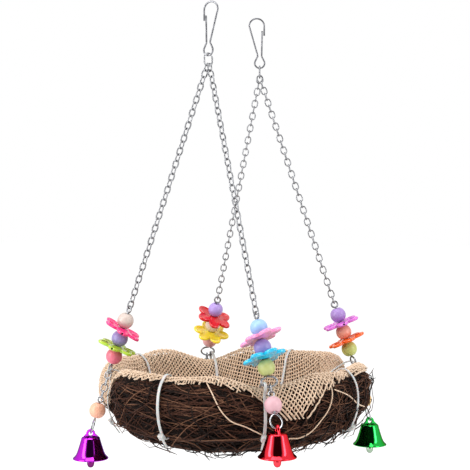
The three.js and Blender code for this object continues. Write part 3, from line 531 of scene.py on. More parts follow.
def bead(name, node, colour):
    z_axis = axis(f"{node}_spin")
    x_axis = z_axis.orthogonal().normalized()
    place = basis(anchor(f"{node}_spin"), x_axis, z_axis.cross(x_axis), z_axis)
    paint = f"{node}_paint"
    bm = lathe(bead_profile(), BEAD_SIDES)
    piece_from(name, bm, painted_wood(paint, colour), node, node, place)


for leg in LEGS:
    for level, colour in zip(("upper", "middle", "lower"), BEAD_COLOURS[leg]):
        bead(f"{leg}_wood_bead_{level}", f"{leg}_bead_{level}", colour)

# Plastic flowers. Moulded discs with round petals, each petal dished inside a raised rim, threaded on
# the pin between two beads. The plastic is clear-coloured and very glossy, and the end of one petal has
# a small hole where the mould was fed. The hole's bottom is painted dark as the shade inside it.
FLOWER_DIAMETER = 0.030
FLOWER_BORE = 0.0026
PETALS = 6
FLOWER_STEPS = 120
PETAL_MIDDLE = 0.0088
PETAL_HALF_WIDTH = 0.0045
NOTCH_RADIUS = 0.0058
FLOWER_LEAN = {
    "front_left": ((-0.25, 0.03), (-0.09, -0.01)),
    "front_right": ((0.22, -0.08), (0.13, -0.12)),
    "back_right": ((0.06, 0.05), (0.12, 0.0)),
    "back_left": ((-0.2, 0.25), (-0.05, 0.22)),
}
# Degrees that a petal is turned past the camera's side, and the petal with the hole, counted from it
FLOWER_TURN = {"front_left": (6, -8), "front_right": (22, 30), "back_right": (4, 12), "back_left": (6, 28)}
HOLE_PETAL = {"front_left": (0, 0), "front_right": (3, 3), "back_right": (0, 3), "back_left": (3, 3)}
HOLE_DEPTH = 0.0016
HOLE_EDGE = 0.00022
HOLE_FACES = 4
HUB_SHARE = 0.2
# Radii between which a petal starts to lean, as shares of the hub's
LEAN_SPAN = (0.7, 2.0)
FLOWER_COLOURS = {
    "front_left": ("f2357f", "a9c93a"),
    "front_right": ("ec92bf", "22b5dd"),
    "back_right": ("cd6ac6", "e85f1a"),
    "back_left": ("cf1c22", "ecd534"),
}
# Half section from the bore out, as shares of the petal's reach and of half the thickness
FLOWER_HUB = [(0.0, 0.62), (0.06, 0.95), (0.14, 1.0), (0.20, 0.8)]
FLOWER_DISH = [(0.28, 0.3), (0.42, 0.05), (0.62, 0.0), (0.78, 0.18)]
FLOWER_RIM = [(0.87, 0.62), (0.91, 0.92), (0.95, 1.0), (0.985, 0.75)]
FLOWER_EDGE = [(1.0, 0.25), (0.99, -0.35), (0.95, -0.75)]
FLOWER_UNDER = [(0.88, -0.82), (0.6, -0.6), (0.3, -0.62), (0.2, -0.92), (0.06, -0.95), (0.0, -0.62)]


def smooth_step(value, low, high):
    share = min(max((value - low) / (high - low), 0.0), 1.0)
    return share * share * (3 - 2 * share)


def petal_reach(angle, reach):
    """Radius of the flower's outline: oval petals with deep notches between them."""
    share = 2 * pi / PETALS
    angle = (angle + share / 2) % share - share / 2
    long = reach - PETAL_MIDDLE
    a = (cos(angle) / long) ** 2 + (sin(angle) / PETAL_HALF_WIDTH) ** 2
    b = cos(angle) * PETAL_MIDDLE / long ** 2
    root = b * b - a * ((PETAL_MIDDLE / long) ** 2 - 1)
    return max((b + sqrt(root)) / a, NOTCH_RADIUS) if root > 0 else NOTCH_RADIUS


def moulded_flower(turn, slope, hole_petal):
    """Flower turned on its pin, its petals leaning by slope, a rise for each of its own X and Y."""
    reach, bore, half = FLOWER_DIAMETER / 2, FLOWER_BORE / 2, FLOWER_THICKNESS / 2
    section = FLOWER_HUB + FLOWER_DISH + FLOWER_RIM + FLOWER_EDGE + FLOWER_UNDER
    profile = [(bore + share * (reach - bore), half * height) for share, height in section]
    bm = lathe(profile + profile[:1], FLOWER_STEPS)
    hub = bore + HUB_SHARE * (reach - bore)
    for vert in bm.verts:
        radius = hypot(vert.co.x, vert.co.y)
        angle = atan2(vert.co.y, vert.co.x)
        share = max((radius - hub) / (reach - hub), 0.0)
        radius += share * (petal_reach(angle, reach) - reach)
        angle += radians(turn)
        x, y = radius * cos(angle), radius * sin(angle)
        leaning = smooth_step(radius / hub, *LEAN_SPAN)
        rise = leaning * (slope.x * x + slope.y * y)
        vert.co = Vector((x, y, vert.co.z + rise))
    way = radians(turn + 360 * hole_petal / PETALS)
    tip = Vector((reach * cos(way), reach * sin(way), 0.0))
    tip.z = slope.x * tip.x + slope.y * tip.y
    feed = sorted(bm.faces, key=lambda face: (face.calc_center_median() - tip).length)[:HOLE_FACES]
    bmesh.ops.inset_region(bm, faces=feed, thickness=HOLE_EDGE, use_even_offset=True)
    sunk = list({vert for face in feed for vert in face.verts})
    bmesh.ops.translate(bm, verts=sunk, vec=-tip.normalized() * HOLE_DEPTH)
    # The hole's bottom faces take the second material, which paints the shade inside the hole.
    for face in feed:
        face.material_index = 1
    return bm


def flower_plastic(name, colour):
    return finish_of(
        name, colour, deeper(colour, 0.8), 160.0, 0.35, (0.1, 0.2),
        Coat_Weight=0.4, Coat_Roughness=0.05, Subsurface_Weight=0.12, Subsurface_Scale=0.002,
    )


# Dark plastic for the hole's bottom: painted shade, much darker than the flower's own plastic.
def painted_hole_shade(name, colour):
    return finish_of(name, deeper(colour, 0.3), deeper(colour, 0.15), 900.0, 0.6, (0.6, 0.8))


view_right = outwards(degrees(VIEW_AZIMUTH))
for leg in LEGS:
    turned = leg_frame(leg).to_3x3()
    front = turned.inverted() @ camera_side
    front_turn = degrees(atan2(front.y, front.x))
    looks = zip(FLOWER_COLOURS[leg], FLOWER_TURN[leg], FLOWER_LEAN[leg], HOLE_PETAL[leg])
    for level, (colour, turn, lean, hole_petal) in zip(("upper", "lower"), looks):
        node = f"{leg}_flower_{level}"
        slope = turned.inverted() @ (view_right * lean[0] - camera_side * lean[1])
        bm = moulded_flower(turn + front_turn, slope, hole_petal)
        place = Matrix.Translation(anchor(f"{node}_spin")) @ turned.to_4x4()
        slot = f"{node}_plastic"
        plastic = flower_plastic(slot, colour)
        disc = piece_from(f"{leg}_petal_disc_{level}", bm, plastic, node, node, place)
        # Second material: painted shade at the bottom of the feed hole.
        disc.data.materials.append(painted_hole_shade(f"{node}_hole", colour))

# Drops. A few links hang in the rim eye; the last holds a wire with an eye above a bead and a pear-shaped
# loop below it for the bell. A drop's frame has its Z up the drop, from the rim eye's lowest wire.
DROP_LINKS = {"front_left": 4, "front_right": 1, "back_right": 4, "back_left": 3}
LOOP_WIDTH = 0.0094
LOOP_HEIGHT = 0.012
LOOP_WIRE = 0.0012
LOOP_EYE_RADIUS = 0.002
LOOP_STEPS = 36
PEAR_NARROWING = 0.25
PEAR_POWER = 1.3
drop_start = LINK_PLAY + PIN_WIRE / 2
bright_wire = finish_of("bright_wire", "b4b5b8", "77787c", 380.0, 0.4, (0.1, 0.22), Metallic=1.0)


def drop_frame(leg):
    rise = axis(f"{leg}_drop_bead_spin")
    tangent = -axis(f"{leg}_drop_swing")
    return basis(anchor(f"{leg}_drop_swing"), tangent.cross(rise), tangent, rise)


def pear_run(half_width, half_height, level):
    """Closed pear shape whose two legs meet at its top, as the wire leaves a bead."""
    angles = [2 * pi * i / LOOP_STEPS for i in range(LOOP_STEPS)]
    narrow = [1.0 - PEAR_NARROWING * max(0.0, cos(a)) ** PEAR_POWER for a in angles]
    return [
        Vector((0.0, sin(a) * half_width * n, level + cos(a) * half_height))
        for a, n in zip(angles, narrow)
    ]


def merged(*parts):
    """One bmesh from several."""
    whole = bmesh.new()
    for part in parts:
        mesh = bpy.data.meshes.new("part")
        part.to_mesh(mesh)
        part.free()
        whole.from_mesh(mesh)
        bpy.data.meshes.remove(mesh)
    return whole


for leg in LEGS:
    count = DROP_LINKS[leg]
    bead_at = (drop_frame(leg).inverted() @ anchor(f"{leg}_drop_bead_spin")).z
    loop_half = (LOOP_HEIGHT - LOOP_WIRE) / 2
    loop_level = bead_at - BEAD_LENGTH / 2 - GAP - LOOP_WIRE / 2 - loop_half
    eye_level = bead_at + BEAD_LENGTH / 2 + GAP + LOOP_WIRE / 2 + LOOP_EYE_RADIUS
    eye_way = Vector((1, 0, 0)) if count % 2 == 0 else Vector((0, 1, 0))
    eye = eye_run(eye_way, LOOP_EYE_RADIUS, LOOP_EYE_RADIUS, eye_level, 1)[::-1]
    shank = [Vector((0, 0, bead_at)), Vector((0, 0, loop_level + loop_half))]
    pear = pear_run((LOOP_WIDTH - LOOP_WIRE) / 2, loop_half, loop_level)
    stem = bent_wire([eye + shank], LOOP_WIRE / 2, 3)
    loop = bent_wire([pear], LOOP_WIRE / 2, 3, closed=True)
    bm = merged(link_chain(count, drop_start), stem, loop)
    piece_from(
        f"{leg}_drop_wire", bm, bright_wire, f"{leg}_drop", f"{leg}_drop_chain", drop_frame(leg)
    )
    bead(f"{leg}_wood_bead_drop", f"{leg}_drop_bead", BEAD_COLOURS[leg][3])

# Bells. Spun thin metal with a flared lip and a cast lug on the crown, plated and dipped in coloured
# lacquer that mirrors the lamps. A bell's frame has X out from the nest and its origin on the loop's wire.
BELL_MOUTH = 0.026
BELL_SHOULDER = 0.0136
BELL_HEIGHT = 0.0165
BELL_WALL = 0.0007
CROWN_LEVEL = -0.0024
LUG_LEVEL = -0.0005
LUG_INNER = 0.0016
LUG_OUTER = 0.0033
LUG_HALF = 0.00095
LUG_FOOT = -0.0034
LUG_FOOT_WIDTH = 0.0128
LUG_POINTS = 32
LUG_BEVEL = 0.0003
LUG_SHARP_ANGLE = 1.0
LUG_FLAT_NORMAL = 0.99
BELL_SIDES = 48
TINY = 1e-9
STAPLE_RADIUS = 0.0017
STAPLE_WIRE = 0.0008
BELL_COLOURS = {
    "front_left": ("d028e4", "b01cc8"), "front_right": ("f2303e", "d81c2c"),
    "back_right": ("22b84a", "16a03c"), "back_left": ("2c62e0", "1c4cc4"),
}
# Outer profile from the crown's middle out: levels in metres on the crown, then shares of the bell's
# height on the waist and the lip, at shares of the shoulder's or the mouth's radius
CROWN = [(0.0, 0.0002), (0.3, 0.0001), (0.74, -0.0003), (0.93, -0.0007), (1.0, -0.0014), (1.03, -0.0024)]
WAIST = [(1.14, 0.30), (1.29, 0.50), (1.45, 0.70), (1.57, 0.81), (1.71, 0.885)]
LIP = [(0.965, 0.935), (1.0, 0.965), (0.992, 0.99)]
LIP_INNER = 0.955
CROWN_WALL_SHARE = 0.6


def spun_bell():
    outer = [(share * BELL_SHOULDER / 2, level) for share, level in CROWN]
    outer += [(share * BELL_SHOULDER / 2, -down * BELL_HEIGHT) for share, down in WAIST]
    outer += [(share * BELL_MOUTH / 2, -down * BELL_HEIGHT) for share, down in LIP]
    drop = CROWN_WALL_SHARE * BELL_WALL
    inner = [(max(radius - BELL_WALL, 0.0), level - drop) for radius, level in outer[1:-1]]
    profile = outer + [(LIP_INNER * BELL_MOUTH / 2, -BELL_HEIGHT)] + inner[::-1] + [(0.0, -BELL_WALL)]
    bm = lathe(profile, BELL_SIDES)
    bmesh.ops.recalc_face_normals(bm, faces=bm.faces)
    bmesh.ops.translate(bm, verts=bm.verts, vec=(0, 0, CROWN_LEVEL))
    return bm


def cast_lug():
    """Flat plate with a round top and a hole, wide where it meets the shoulder, across the Y axis."""
    bm = bmesh.new()
    bmesh.ops.create_circle(bm, segments=LUG_POINTS, radius=LUG_INNER)
    rim = bmesh.ops.create_circle(bm, segments=LUG_POINTS, radius=LUG_OUTER)["verts"]
    depth = LUG_LEVEL - LUG_FOOT
    for vert in rim:
        side, up = vert.co.x / LUG_OUTER, vert.co.y / LUG_OUTER
        if up < 0:
            slope = (LUG_FOOT_WIDTH / 2 - LUG_OUTER) / depth
            reach = LUG_OUTER / max(abs(side) + slope * up, TINY)
            vert.co *= min(reach, depth / -up) / LUG_OUTER
    bmesh.ops.bridge_loops(bm, edges=bm.edges[:])
    bmesh.ops.rotate(bm, verts=bm.verts, cent=(0, 0, 0), matrix=Matrix.Rotation(pi / 2, 3, "X"))
    bmesh.ops.translate(bm, verts=bm.verts, vec=(0, LUG_HALF, LUG_LEVEL))
    walls = bmesh.ops.extrude_face_region(bm, geom=bm.faces[:])
    moved = [part for part in walls["geom"] if isinstance(part, bmesh.types.BMVert)]
    bmesh.ops.translate(bm, verts=moved, vec=(0, -2 * LUG_HALF, 0))
    bmesh.ops.recalc_face_normals(bm, faces=bm.faces)
    sharp = [edge for edge in bm.edges if edge.calc_face_angle(0.0) > LUG_SHARP_ANGLE]
    bmesh.ops.bevel(
        bm, geom=sharp, offset=LUG_BEVEL, offset_type="OFFSET", segments=2, profile=0.5,
        affect="EDGES", material=-1,
    )
    bm.normal_update()
    for edge in bm.edges:
        flat = [abs(face.normal.y) > LUG_FLAT_NORMAL for face in edge.link_faces]
        edge.smooth = all(flat) or not any(flat)
    return bm


def staple_run(level, radius):
    """Bent wire under the crown that the clapper hangs on, in the plane of Y and Z."""
    bend = arc(0.0, level + radius, radius, 180, 360, 14)
    foot = Vector((radius, 0, CROWN_LEVEL - BELL_WALL))
    run = [Vector((-foot.x, 0, foot.z)), *bend, foot]
    return [Vector((0.0, point.x, point.z)) for point in run]


def bell_frame(leg):
    radial = outwards(STATION[leg])
    return basis(anchor(f"{leg}_bell_swing"), radial, UP.cross(radial), UP)


EDGE_TINT = 0.3


def lacquer(name, colour, shade):
    """Clear coloured lacquer over bright plating, deepest where the surface is seen at a low angle."""
    edge = [EDGE_TINT * c for c in linear(shade)[:3]]
    return finish_of(
        name, colour, shade, 120.0, 0.5, (0.05, 0.12),
        Metallic=1.0, Specular_Tint=(*edge, 1.0), Coat_Weight=0.2, Coat_Roughness=0.04,
    )


for leg in LEGS:
    place = bell_frame(leg)
    pivot = (place.inverted() @ anchor(f"{leg}_clapper_swing")).z
    staple = bent_wire([staple_run(pivot, STAPLE_RADIUS)], STAPLE_WIRE / 2, 2)
    bm = merged(spun_bell(), cast_lug(), staple)
    node, slot = f"{leg}_bell", f"{leg}_bell_lacquer"
    piece_from(f"{leg}_lacquered_bell", bm, lacquer(slot, *BELL_COLOURS[leg]), node, node, place)

# Clappers. Each is a wire with a small eye on the bell's staple and a long drop of metal that shows under
# the lip, dipped in coloured lacquer. Their colours carry painted reflection: the front left one is
# painted dark purple for the dark room it mirrors.
CLAPPER_REACH = 0.0065
CLAPPER_EYE_RADIUS = 0.0013
CLAPPER_WIRE = 0.0009
BULB_SIDES = 24
# Lacquer colours with painted reflection mixed in: the front left clapper is painted darker than its bell.
CLAPPER_COLOURS = {
    "front_left": ("7c1f72", "5a1452"), "front_right": ("ee4450", "cc2c38"),
    "back_right": ("a9bfa8", "7f967e"), "back_left": ("3a5cb4", "28458c"),
}
# The drop's (radius, height) from its lowest point up to the wire
BULB = [
    (0.0, 0.0), (0.0011, 0.0002), (0.0019, 0.0008), (0.0025, 0.0020), (0.0027, 0.0034), (0.0024, 0.0052),
    (0.0016, 0.0074), (0.0008, 0.0092), (CLAPPER_WIRE / 2, 0.0104), (0.0, 0.0106),
]
WIRE_FOOT = 0.009
clapper_low = CROWN_LEVEL - BELL_HEIGHT - CLAPPER_REACH
for leg in LEGS:
    place = bell_frame(leg)
    pivot = (place.inverted() @ anchor(f"{leg}_clapper_swing")).z
    eye_level = pivot + STAPLE_WIRE / 2 + GAP + CLAPPER_WIRE / 2 - CLAPPER_EYE_RADIUS
    eye = eye_run(Vector((1, 0, 0)), CLAPPER_EYE_RADIUS, CLAPPER_EYE_RADIUS, eye_level, 1)
    run = [Vector((0, 0, clapper_low + WIRE_FOOT)), *eye]
    bulb = lathe([(radius, clapper_low + height) for radius, height in BULB], BULB_SIDES)
    bm = merged(bulb, bent_wire([run], CLAPPER_WIRE / 2, 2))
    # Lacquer whose colour carries painted reflection.
    clapper_lacquer_with_painted_reflection = lacquer(f"{leg}_clapper_lacquer", *CLAPPER_COLOURS[leg])
    node = f"{leg}_clapper"
    piece_from(f"{leg}_tongue", bm, clapper_lacquer_with_painted_reflection, node, node, place)

# Twig bowl. Fine brown twigs and split rattan are wound round and pressed into a shallow bowl, drawn in
# where it is tied. A dense mat, painted near black as the shade deep between the twigs, lies under layers
# of loose twigs whose ends stick out, and the twigs are darker the deeper they lie: partly their own
# colour, partly painted shade.
NEST_RADIUS = 0.102
NEST_HEIGHT = 0.052
NEST_FLOOR = 0.014
RIM_WALL = 0.016
STATION_CINCH = 0.008
SIDE_CINCH = 0.003
CINCH_ANGLE = 12.0
CINCH_FADE = 0.020
RIM_RISE = 0.008
RISE_DEPTH = 0.030
EYE_HEIGHT = 0.0062
EYE_RADIUS = 0.0945
BUNDLE_PITCH = 0.019
BUNDLE_DEPTH = 0.0035
BUNDLE_SWAY = 0.2
BUNDLE_WAVES = 3
BUNDLE_FADE = 0.012
SIDES = (0, 90, 180, -90)
# Radii, as shares of the bowl's, between which the ties start to draw it in
CINCH_SPAN = (0.3, 0.8)
eye_mean = sum((leg_frame(leg) @ Vector((0, 0, rim_eye_level))).z for leg in LEGS) / len(LEGS)
crest_level = eye_mean - EYE_HEIGHT
inner_radius = NEST_RADIUS - RIM_WALL
floor_level = NEST_FLOOR - NEST_HEIGHT
OUTER_WALL = [
    (0.0, -NEST_HEIGHT), (0.44 * NEST_RADIUS, 0.0015 - NEST_HEIGHT),
    (0.69 * NEST_RADIUS, 0.007 - NEST_HEIGHT), (NEST_RADIUS - 0.016, 0.013 - NEST_HEIGHT),
    (NEST_RADIUS - 0.006, 0.022 - NEST_HEIGHT), (NEST_RADIUS - 0.001, -0.022), (NEST_RADIUS, -0.013),
    (NEST_RADIUS - 0.0025, -0.005),
]
CREST = (NEST_RADIUS - 0.009, 0.0)
INNER_WALL = [
    (inner_radius + 0.001, -0.004), (inner_radius - 0.002, -0.012), (inner_radius - 0.006, -0.020),
    (inner_radius - 0.016, floor_level + 0.009), (inner_radius - 0.036, floor_level + 0.0025),
    (0.0, floor_level),
]


def apart(angle, centre):
    return abs((angle - centre + 540) % 360 - 180)


def near(angle, centre, span):
    """1 at the centre, falling off to both sides over the span."""
    return exp(-(apart(angle, centre) / span) ** 2)


def shaped(radius, angle, level):
    """Place on the bowl's wall: a point of its round profile, drawn in at the ties, raised between legs."""
    pull = sum(STATION_CINCH * near(angle, a, CINCH_ANGLE) for a in STATION.values())
    pull += sum(SIDE_CINCH * near(angle, a, CINCH_ANGLE) for a in SIDES)
    pull *= min(max((level + NEST_HEIGHT) / (NEST_HEIGHT - CINCH_FADE), 0.0), 1.0)
    pull *= smooth_step(radius / NEST_RADIUS, *CINCH_SPAN)
    free = smooth_step(min(apart(angle, a) for a in STATION.values()) / (2 * CINCH_ANGLE), 0.0, 1.0)
    rise = RIM_RISE * free * min(max(1 + level / RISE_DEPTH, 0.0), 1.0)
    return radius - pull, level + rise


def hollow_depth(length, angle, whole):
    """How far the wall sinks between the wound bundles, at a length up it of the whole."""
    turns = length / BUNDLE_PITCH + angle / 360 + BUNDLE_SWAY * sin(BUNDLE_WAVES * radians(angle))
    fade = smooth_step(length, BUNDLE_FADE, 2 * BUNDLE_FADE)
    fade *= smooth_step(whole - length, BUNDLE_FADE, 2 * BUNDLE_FADE)
    return BUNDLE_DEPTH * fade * (1 - cos(2 * pi * turns)) / 2


def rounded(profile):
    """Profile with its corners cut twice, so that it runs smoothly."""
    for _ in range(2):
        cut = [profile[0]]
        for (r0, z0), (r1, z1) in zip(profile, profile[1:]):
            cut.append((0.75 * r0 + 0.25 * r1, 0.75 * z0 + 0.25 * z1))
            cut.append((0.25 * r0 + 0.75 * r1, 0.25 * z0 + 0.75 * z1))
        profile = cut + [profile[-1]]
    return profile


class Skin:
    """A round profile as a surface: the place and outward normal at an angle and a length along it."""

    def __init__(self, profile, facing):
        self.profile = rounded(profile)
        steps = zip(self.profile, self.profile[1:])
        runs = [hypot(r1 - r0, z1 - z0) for (r0, z0), (r1, z1) in steps]
        self.lengths = [0.0, *itertools.accumulate(runs)]
        self.facing = facing

    def crest_length(self):
        highest = max(range(len(self.profile)), key=lambda i: self.profile[i][1])
        return self.lengths[highest]

    def profile_at(self, length):
        length = min(max(length, 0.0), self.lengths[-1])
        high = min(bisect.bisect_right(self.lengths, length), len(self.lengths) - 1)
        low = high - 1
        share = (length - self.lengths[low]) / max(self.lengths[high] - self.lengths[low], TINY)
        (r0, z0), (r1, z1) = self.profile[low], self.profile[high]
        run = max(hypot(r1 - r0, z1 - z0), TINY)
        normal = ((z1 - z0) / run * self.facing, -(r1 - r0) / run * self.facing)
        return r0 + share * (r1 - r0), z0 + share * (z1 - z0), normal

    def place(self, angle, length, lift):
        radius, level, (n_r, n_z) = self.profile_at(length)
        radius, level = shaped(radius, angle, level)
        radius, level = radius + n_r * lift, level + n_z * lift
        turn = radians(angle)
        return Vector((radius * cos(turn), radius * sin(turn), crest_level + level))


outer_skin = Skin(OUTER_WALL + [CREST] + INNER_WALL[:2], 1.0)
crest_length = outer_skin.crest_length()


def wall_place(angle, length, lift):
    """Point of the wall's outside, sunk between the bundles."""
    return outer_skin.place(angle, length, lift - hollow_depth(length, angle, crest_length))


MAT_DEPTH = 0.0022
MAT_ROWS = 64
MAT_COLUMNS = 120
MAT_ROUGHNESS = 0.0005
MAT_LUMPS = 160.0
CREST_FILL = 0.75
CREST_SPAN = 0.011
BARK_GLOSS = 0.12
# Near-black bark: painted shade of the deep gaps, showing between the twigs and through the burlap.
mat_bark_in_painted_shade = finish_of(
    "twig_mat_in_painted_shade", "160d08", "080403", 520.0, 0.9, (0.8, 0.95), 0.0012, Specular_IOR_Level=BARK_GLOSS
)
whole_skin = Skin(OUTER_WALL + [CREST] + INNER_WALL, 1.0)
mat_rows = [whole_skin.lengths[-1] * i / MAT_ROWS for i in range(MAT_ROWS + 1)]
bm = lathe([(max(length, TINY), 0.0) for length in mat_rows], MAT_COLUMNS)
for vert in bm.verts:
    length = hypot(vert.co.x, vert.co.y)
    angle = degrees(atan2(vert.co.y, vert.co.x))
    rough = MAT_ROUGHNESS * noise.noise(vert.co * MAT_LUMPS)
    filled = CREST_FILL * exp(-((length - crest_length) / CREST_SPAN) ** 2)
    sunk = MAT_DEPTH * (1 - filled) + hollow_depth(length, angle, crest_length)
    vert.co = whole_skin.place(angle, length, rough - sunk)
piece_from("twig_mat_in_painted_shade", bm, mat_bark_in_painted_shade, "nest", "twig_basket")

# Tones from deepest to proudest. The deeper tones are darker: partly the twigs' own colours, partly painted
# shade.
TWIG_TONES = {
    "dark": {
        "colours": ("170e0b", "0a0604"), "count": 1000, "radius": 0.0006, "depth": (-0.0024, -0.0002),
        "loose": 0.02, "proud": False,
    },
    "brown": {
        "colours": ("20140f", "0e0805"), "count": 1450, "radius": 0.00052, "depth": (-0.0020, 0.0004),
        "loose": 0.14, "proud": False,
    },
    "russet": {
        "colours": ("4d3024", "2a1811"), "count": 800, "radius": 0.00045, "depth": (-0.0010, 0.0010),
        "loose": 0.14, "proud": True,
    },
    "tan": {
        "colours": ("7a5641", "4f3527"), "count": 230, "radius": 0.0004, "depth": (-0.0004, 0.0012),
        "loose": 0.08, "proud": True,
    },
}
THINNEST_SHARE = 0.58
END_THICKNESS = 0.55
TWIG_STEP = 0.0062
TWIG_STEPS = (8, 20)
LOOSE_END = 0.0064
LOOSE_CURL = 1.5
HOLLOW_LIMIT = 0.45
# Squares of the shares of the wall's length at which twigs start, and how far past the crest they may
START_SPAN, START_REACH = (0.015, 1.0), 1.02
# Headings in degrees off level: most twigs are wound round the bowl, and a few lie across it
WOUND_SHARE = 0.92
WOUND_SPREAD = 10.0
ACROSS_SPREAD = 80.0
TWIG_BEND, LOOSE_BEND, TWIG_SHAKE = 2.4, 11.0, 4.5
WAVE_HEIGHT = 0.0007
LEAST_WAVE = 0.3
WAVE_TURN = 5.0
END_SHARE, END_DIP = 0.12, 0.0008
COVERED_LIFT = -0.0012
TIED_LIFT, TIED_ANGLE = 0.0004, 9
LEAST_RADIUS = 0.012
LOWEST_LENGTH, OVER_CREST = 0.004, 0.008
COVER_MARGIN = 0.002
HEM_DROP = 0.0025
LEFT_HEM_AT, LEFT_HEM_SPAN, LEFT_HEM_DROP = -145, 16.0, 0.018
FLAP_AT, FLAP_SPAN, FLAP_DROP = -34, 11.0, 0.011


def hem_level(angle):
    """Level of the cloth's edge below the crest."""
    left = LEFT_HEM_DROP * near(angle, LEFT_HEM_AT, LEFT_HEM_SPAN)
    flap = FLAP_DROP * near(angle, FLAP_AT, FLAP_SPAN)
    return -(HEM_DROP + left + flap)


def under_cloth(angle, length):
    """True where the cloth covers the outside of the wall."""
    _, level, _ = outer_skin.profile_at(length)
    return length > crest_length or level > hem_level(angle) - COVER_MARGIN


def twig_run(dice, twig):
    """One twig wound round the bowl: a walk over its skin with a slowly turning heading.

    A proud twig starts on a bundle, not in the hollow beside it."""
    sunk = BUNDLE_DEPTH
    while sunk > HOLLOW_LIMIT * BUNDLE_DEPTH:
        length = crest_length * sqrt(dice.uniform(*START_SPAN)) * START_REACH
        angle = dice.uniform(-180.0, 180.0)
        sunk = hollow_depth(length, angle, crest_length) if twig["proud"] else 0.0
    wound = dice.random() < WOUND_SHARE
    heading = dice.gauss(0.0, WOUND_SPREAD) if wound else dice.uniform(-ACROSS_SPREAD, ACROSS_SPREAD)
    heading += 180.0 * dice.randint(0, 1)
    loose = dice.random() < twig["loose"]
    bend = dice.gauss(0.0, LOOSE_BEND if loose else TWIG_BEND)
    depth = dice.uniform(*twig["depth"])
    steps = dice.randint(*TWIG_STEPS)
    wave, phase = dice.uniform(LEAST_WAVE, 1.0) * WAVE_HEIGHT, dice.uniform(0.0, 6.3)
    points = []
    for i in range(steps):
        share = i / (steps - 1)
        lift = depth + wave * sin(phase + WAVE_TURN * share)
        if loose:
            lift += LOOSE_END * max(0.0, 2 * share - 1) ** LOOSE_CURL
        elif share < END_SHARE or share > 1 - END_SHARE:
            lift -= END_DIP
        if under_cloth(angle, length):
            lift = min(lift, COVERED_LIFT)
        elif min(apart(angle, a) for a in STATION.values()) < TIED_ANGLE:
            lift = min(lift, TIED_LIFT)
        points.append(wall_place(angle, length, lift))
        radius, _, _ = outer_skin.profile_at(length)
        angle += degrees(TWIG_STEP * cos(radians(heading)) / max(radius, LEAST_RADIUS))
        length += TWIG_STEP * sin(radians(heading))
        if length > crest_length + OVER_CREST or length < LOWEST_LENGTH:
            heading = -heading
            length = min(max(length, LOWEST_LENGTH), crest_length + OVER_CREST)
        heading += bend + dice.gauss(0.0, TWIG_SHAKE)
    return points


dice = random.Random(4107)
for tone, twig in TWIG_TONES.items():
    paths, thickness = [], []
    for _ in range(twig["count"]):
        paths.append(twig_run(dice, twig))
        thick = dice.uniform(THINNEST_SHARE, 1.0)
        end = [thick * END_THICKNESS]
        thickness.append(end + [thick] * (len(paths[-1]) - 2) + end)
    bm = bent_wire(paths, twig["radius"], 0, thickness=thickness)
    # The deep tones' dark bark is partly painted shade.
    bark = finish_of(
        f"bark_{tone}", *twig["colours"], 700.0, 0.8, (0.55, 0.8), 0.0002, Specular_IOR_Level=BARK_GLOSS
    )
    piece_from(f"twigs_{tone}", bm, bark, "nest")

# Burlap liner. A piece of loose plain-woven jute is pressed into the bowl and laid over the rim. Each
# yarn is its own strand, over and under its neighbours, and the cut edge frays.
YARN_PITCH = 0.0024
YARN_RADIUS = 0.0006
YARN_SHAKE = 0.00012
YARN_SPREAD, SLUB_SPREAD = (0.78, 1.12), (0.9, 1.1)
FEWEST_KNOTS = 4
WEAVE_HEIGHT = 0.00046
CLOTH_LIFT = 0.0011
WEAVE_TURN = radians(11)
FOLD_HEIGHT = 0.0016
FOLD_COUNT = 8
EDGE_FRAY = 0.0010
CORNER_FRAY = 0.0065
FOLD_SPAN = (0.016, 0.003)
CRUMPLE_HEIGHT, CRUMPLE_SIZE, CRUMPLE_LIMIT = 0.0011, 34.0, -0.0004
CRUMPLE_SPAN = (0.02, 0.06)
LOWEST_HEM = -0.035
PAST_CREST = 0.001
LEFT_FRAY = 0.4
hem_wall = [knot for knot in OUTER_WALL[::-1] if knot[1] > LOWEST_HEM]
cloth_skin = Skin(INNER_WALL[::-1] + [CREST] + hem_wall, -1.0)
cloth_crest = cloth_skin.crest_length()


def hem_length(angle):
    """Length from the cloth's middle to its edge at an angle."""
    edge = hem_level(angle)
    for (radius, level), length in zip(cloth_skin.profile, cloth_skin.lengths):
        if length > cloth_crest + PAST_CREST and level <= edge:
            return length
    return cloth_skin.lengths[-1]


HEM_TABLE = [hem_length(angle) for angle in range(-180, 181)]


def hem_reach(angle):
    """The same at any angle from -180 up to 180."""
    whole = int(angle // 1)
    low, high = HEM_TABLE[whole + 180:whole + 182]
    return low + (angle - whole) * (high - low)


def fray_length(angle):
    """Longest loose end at an angle: the cut corners fray, and the rolled edge hardly does."""
    flap = near(angle, FLAP_AT, 2 * FLAP_SPAN)
    left = near(angle, LEFT_HEM_AT, 1.5 * LEFT_HEM_SPAN)
    return EDGE_FRAY + CORNER_FRAY * max(flap, LEFT_FRAY * left)


def cloth_angle(u, v):
    """Angle round the bowl of a flat place on the cloth."""
    return (degrees(atan2(v, u) + WEAVE_TURN) + 180) % 360 - 180


def cloth_place(u, v, lift):
    """Point of the laid cloth from its flat place."""
    length = hypot(u, v)
    angle = cloth_angle(u, v)
    rim = smooth_step(length, cloth_crest - FOLD_SPAN[0], cloth_crest - FOLD_SPAN[1])
    puff = rim * FOLD_HEIGHT * (1 - cos(FOLD_COUNT * radians(angle))) / 2
    lumps = noise.noise(Vector((u, v, 0.3)) * CRUMPLE_SIZE)
    crumple = CRUMPLE_HEIGHT * lumps * smooth_step(length, *CRUMPLE_SPAN)
    return cloth_skin.place(angle, length, CLOTH_LIFT + puff + max(crumple, CRUMPLE_LIMIT) + lift)


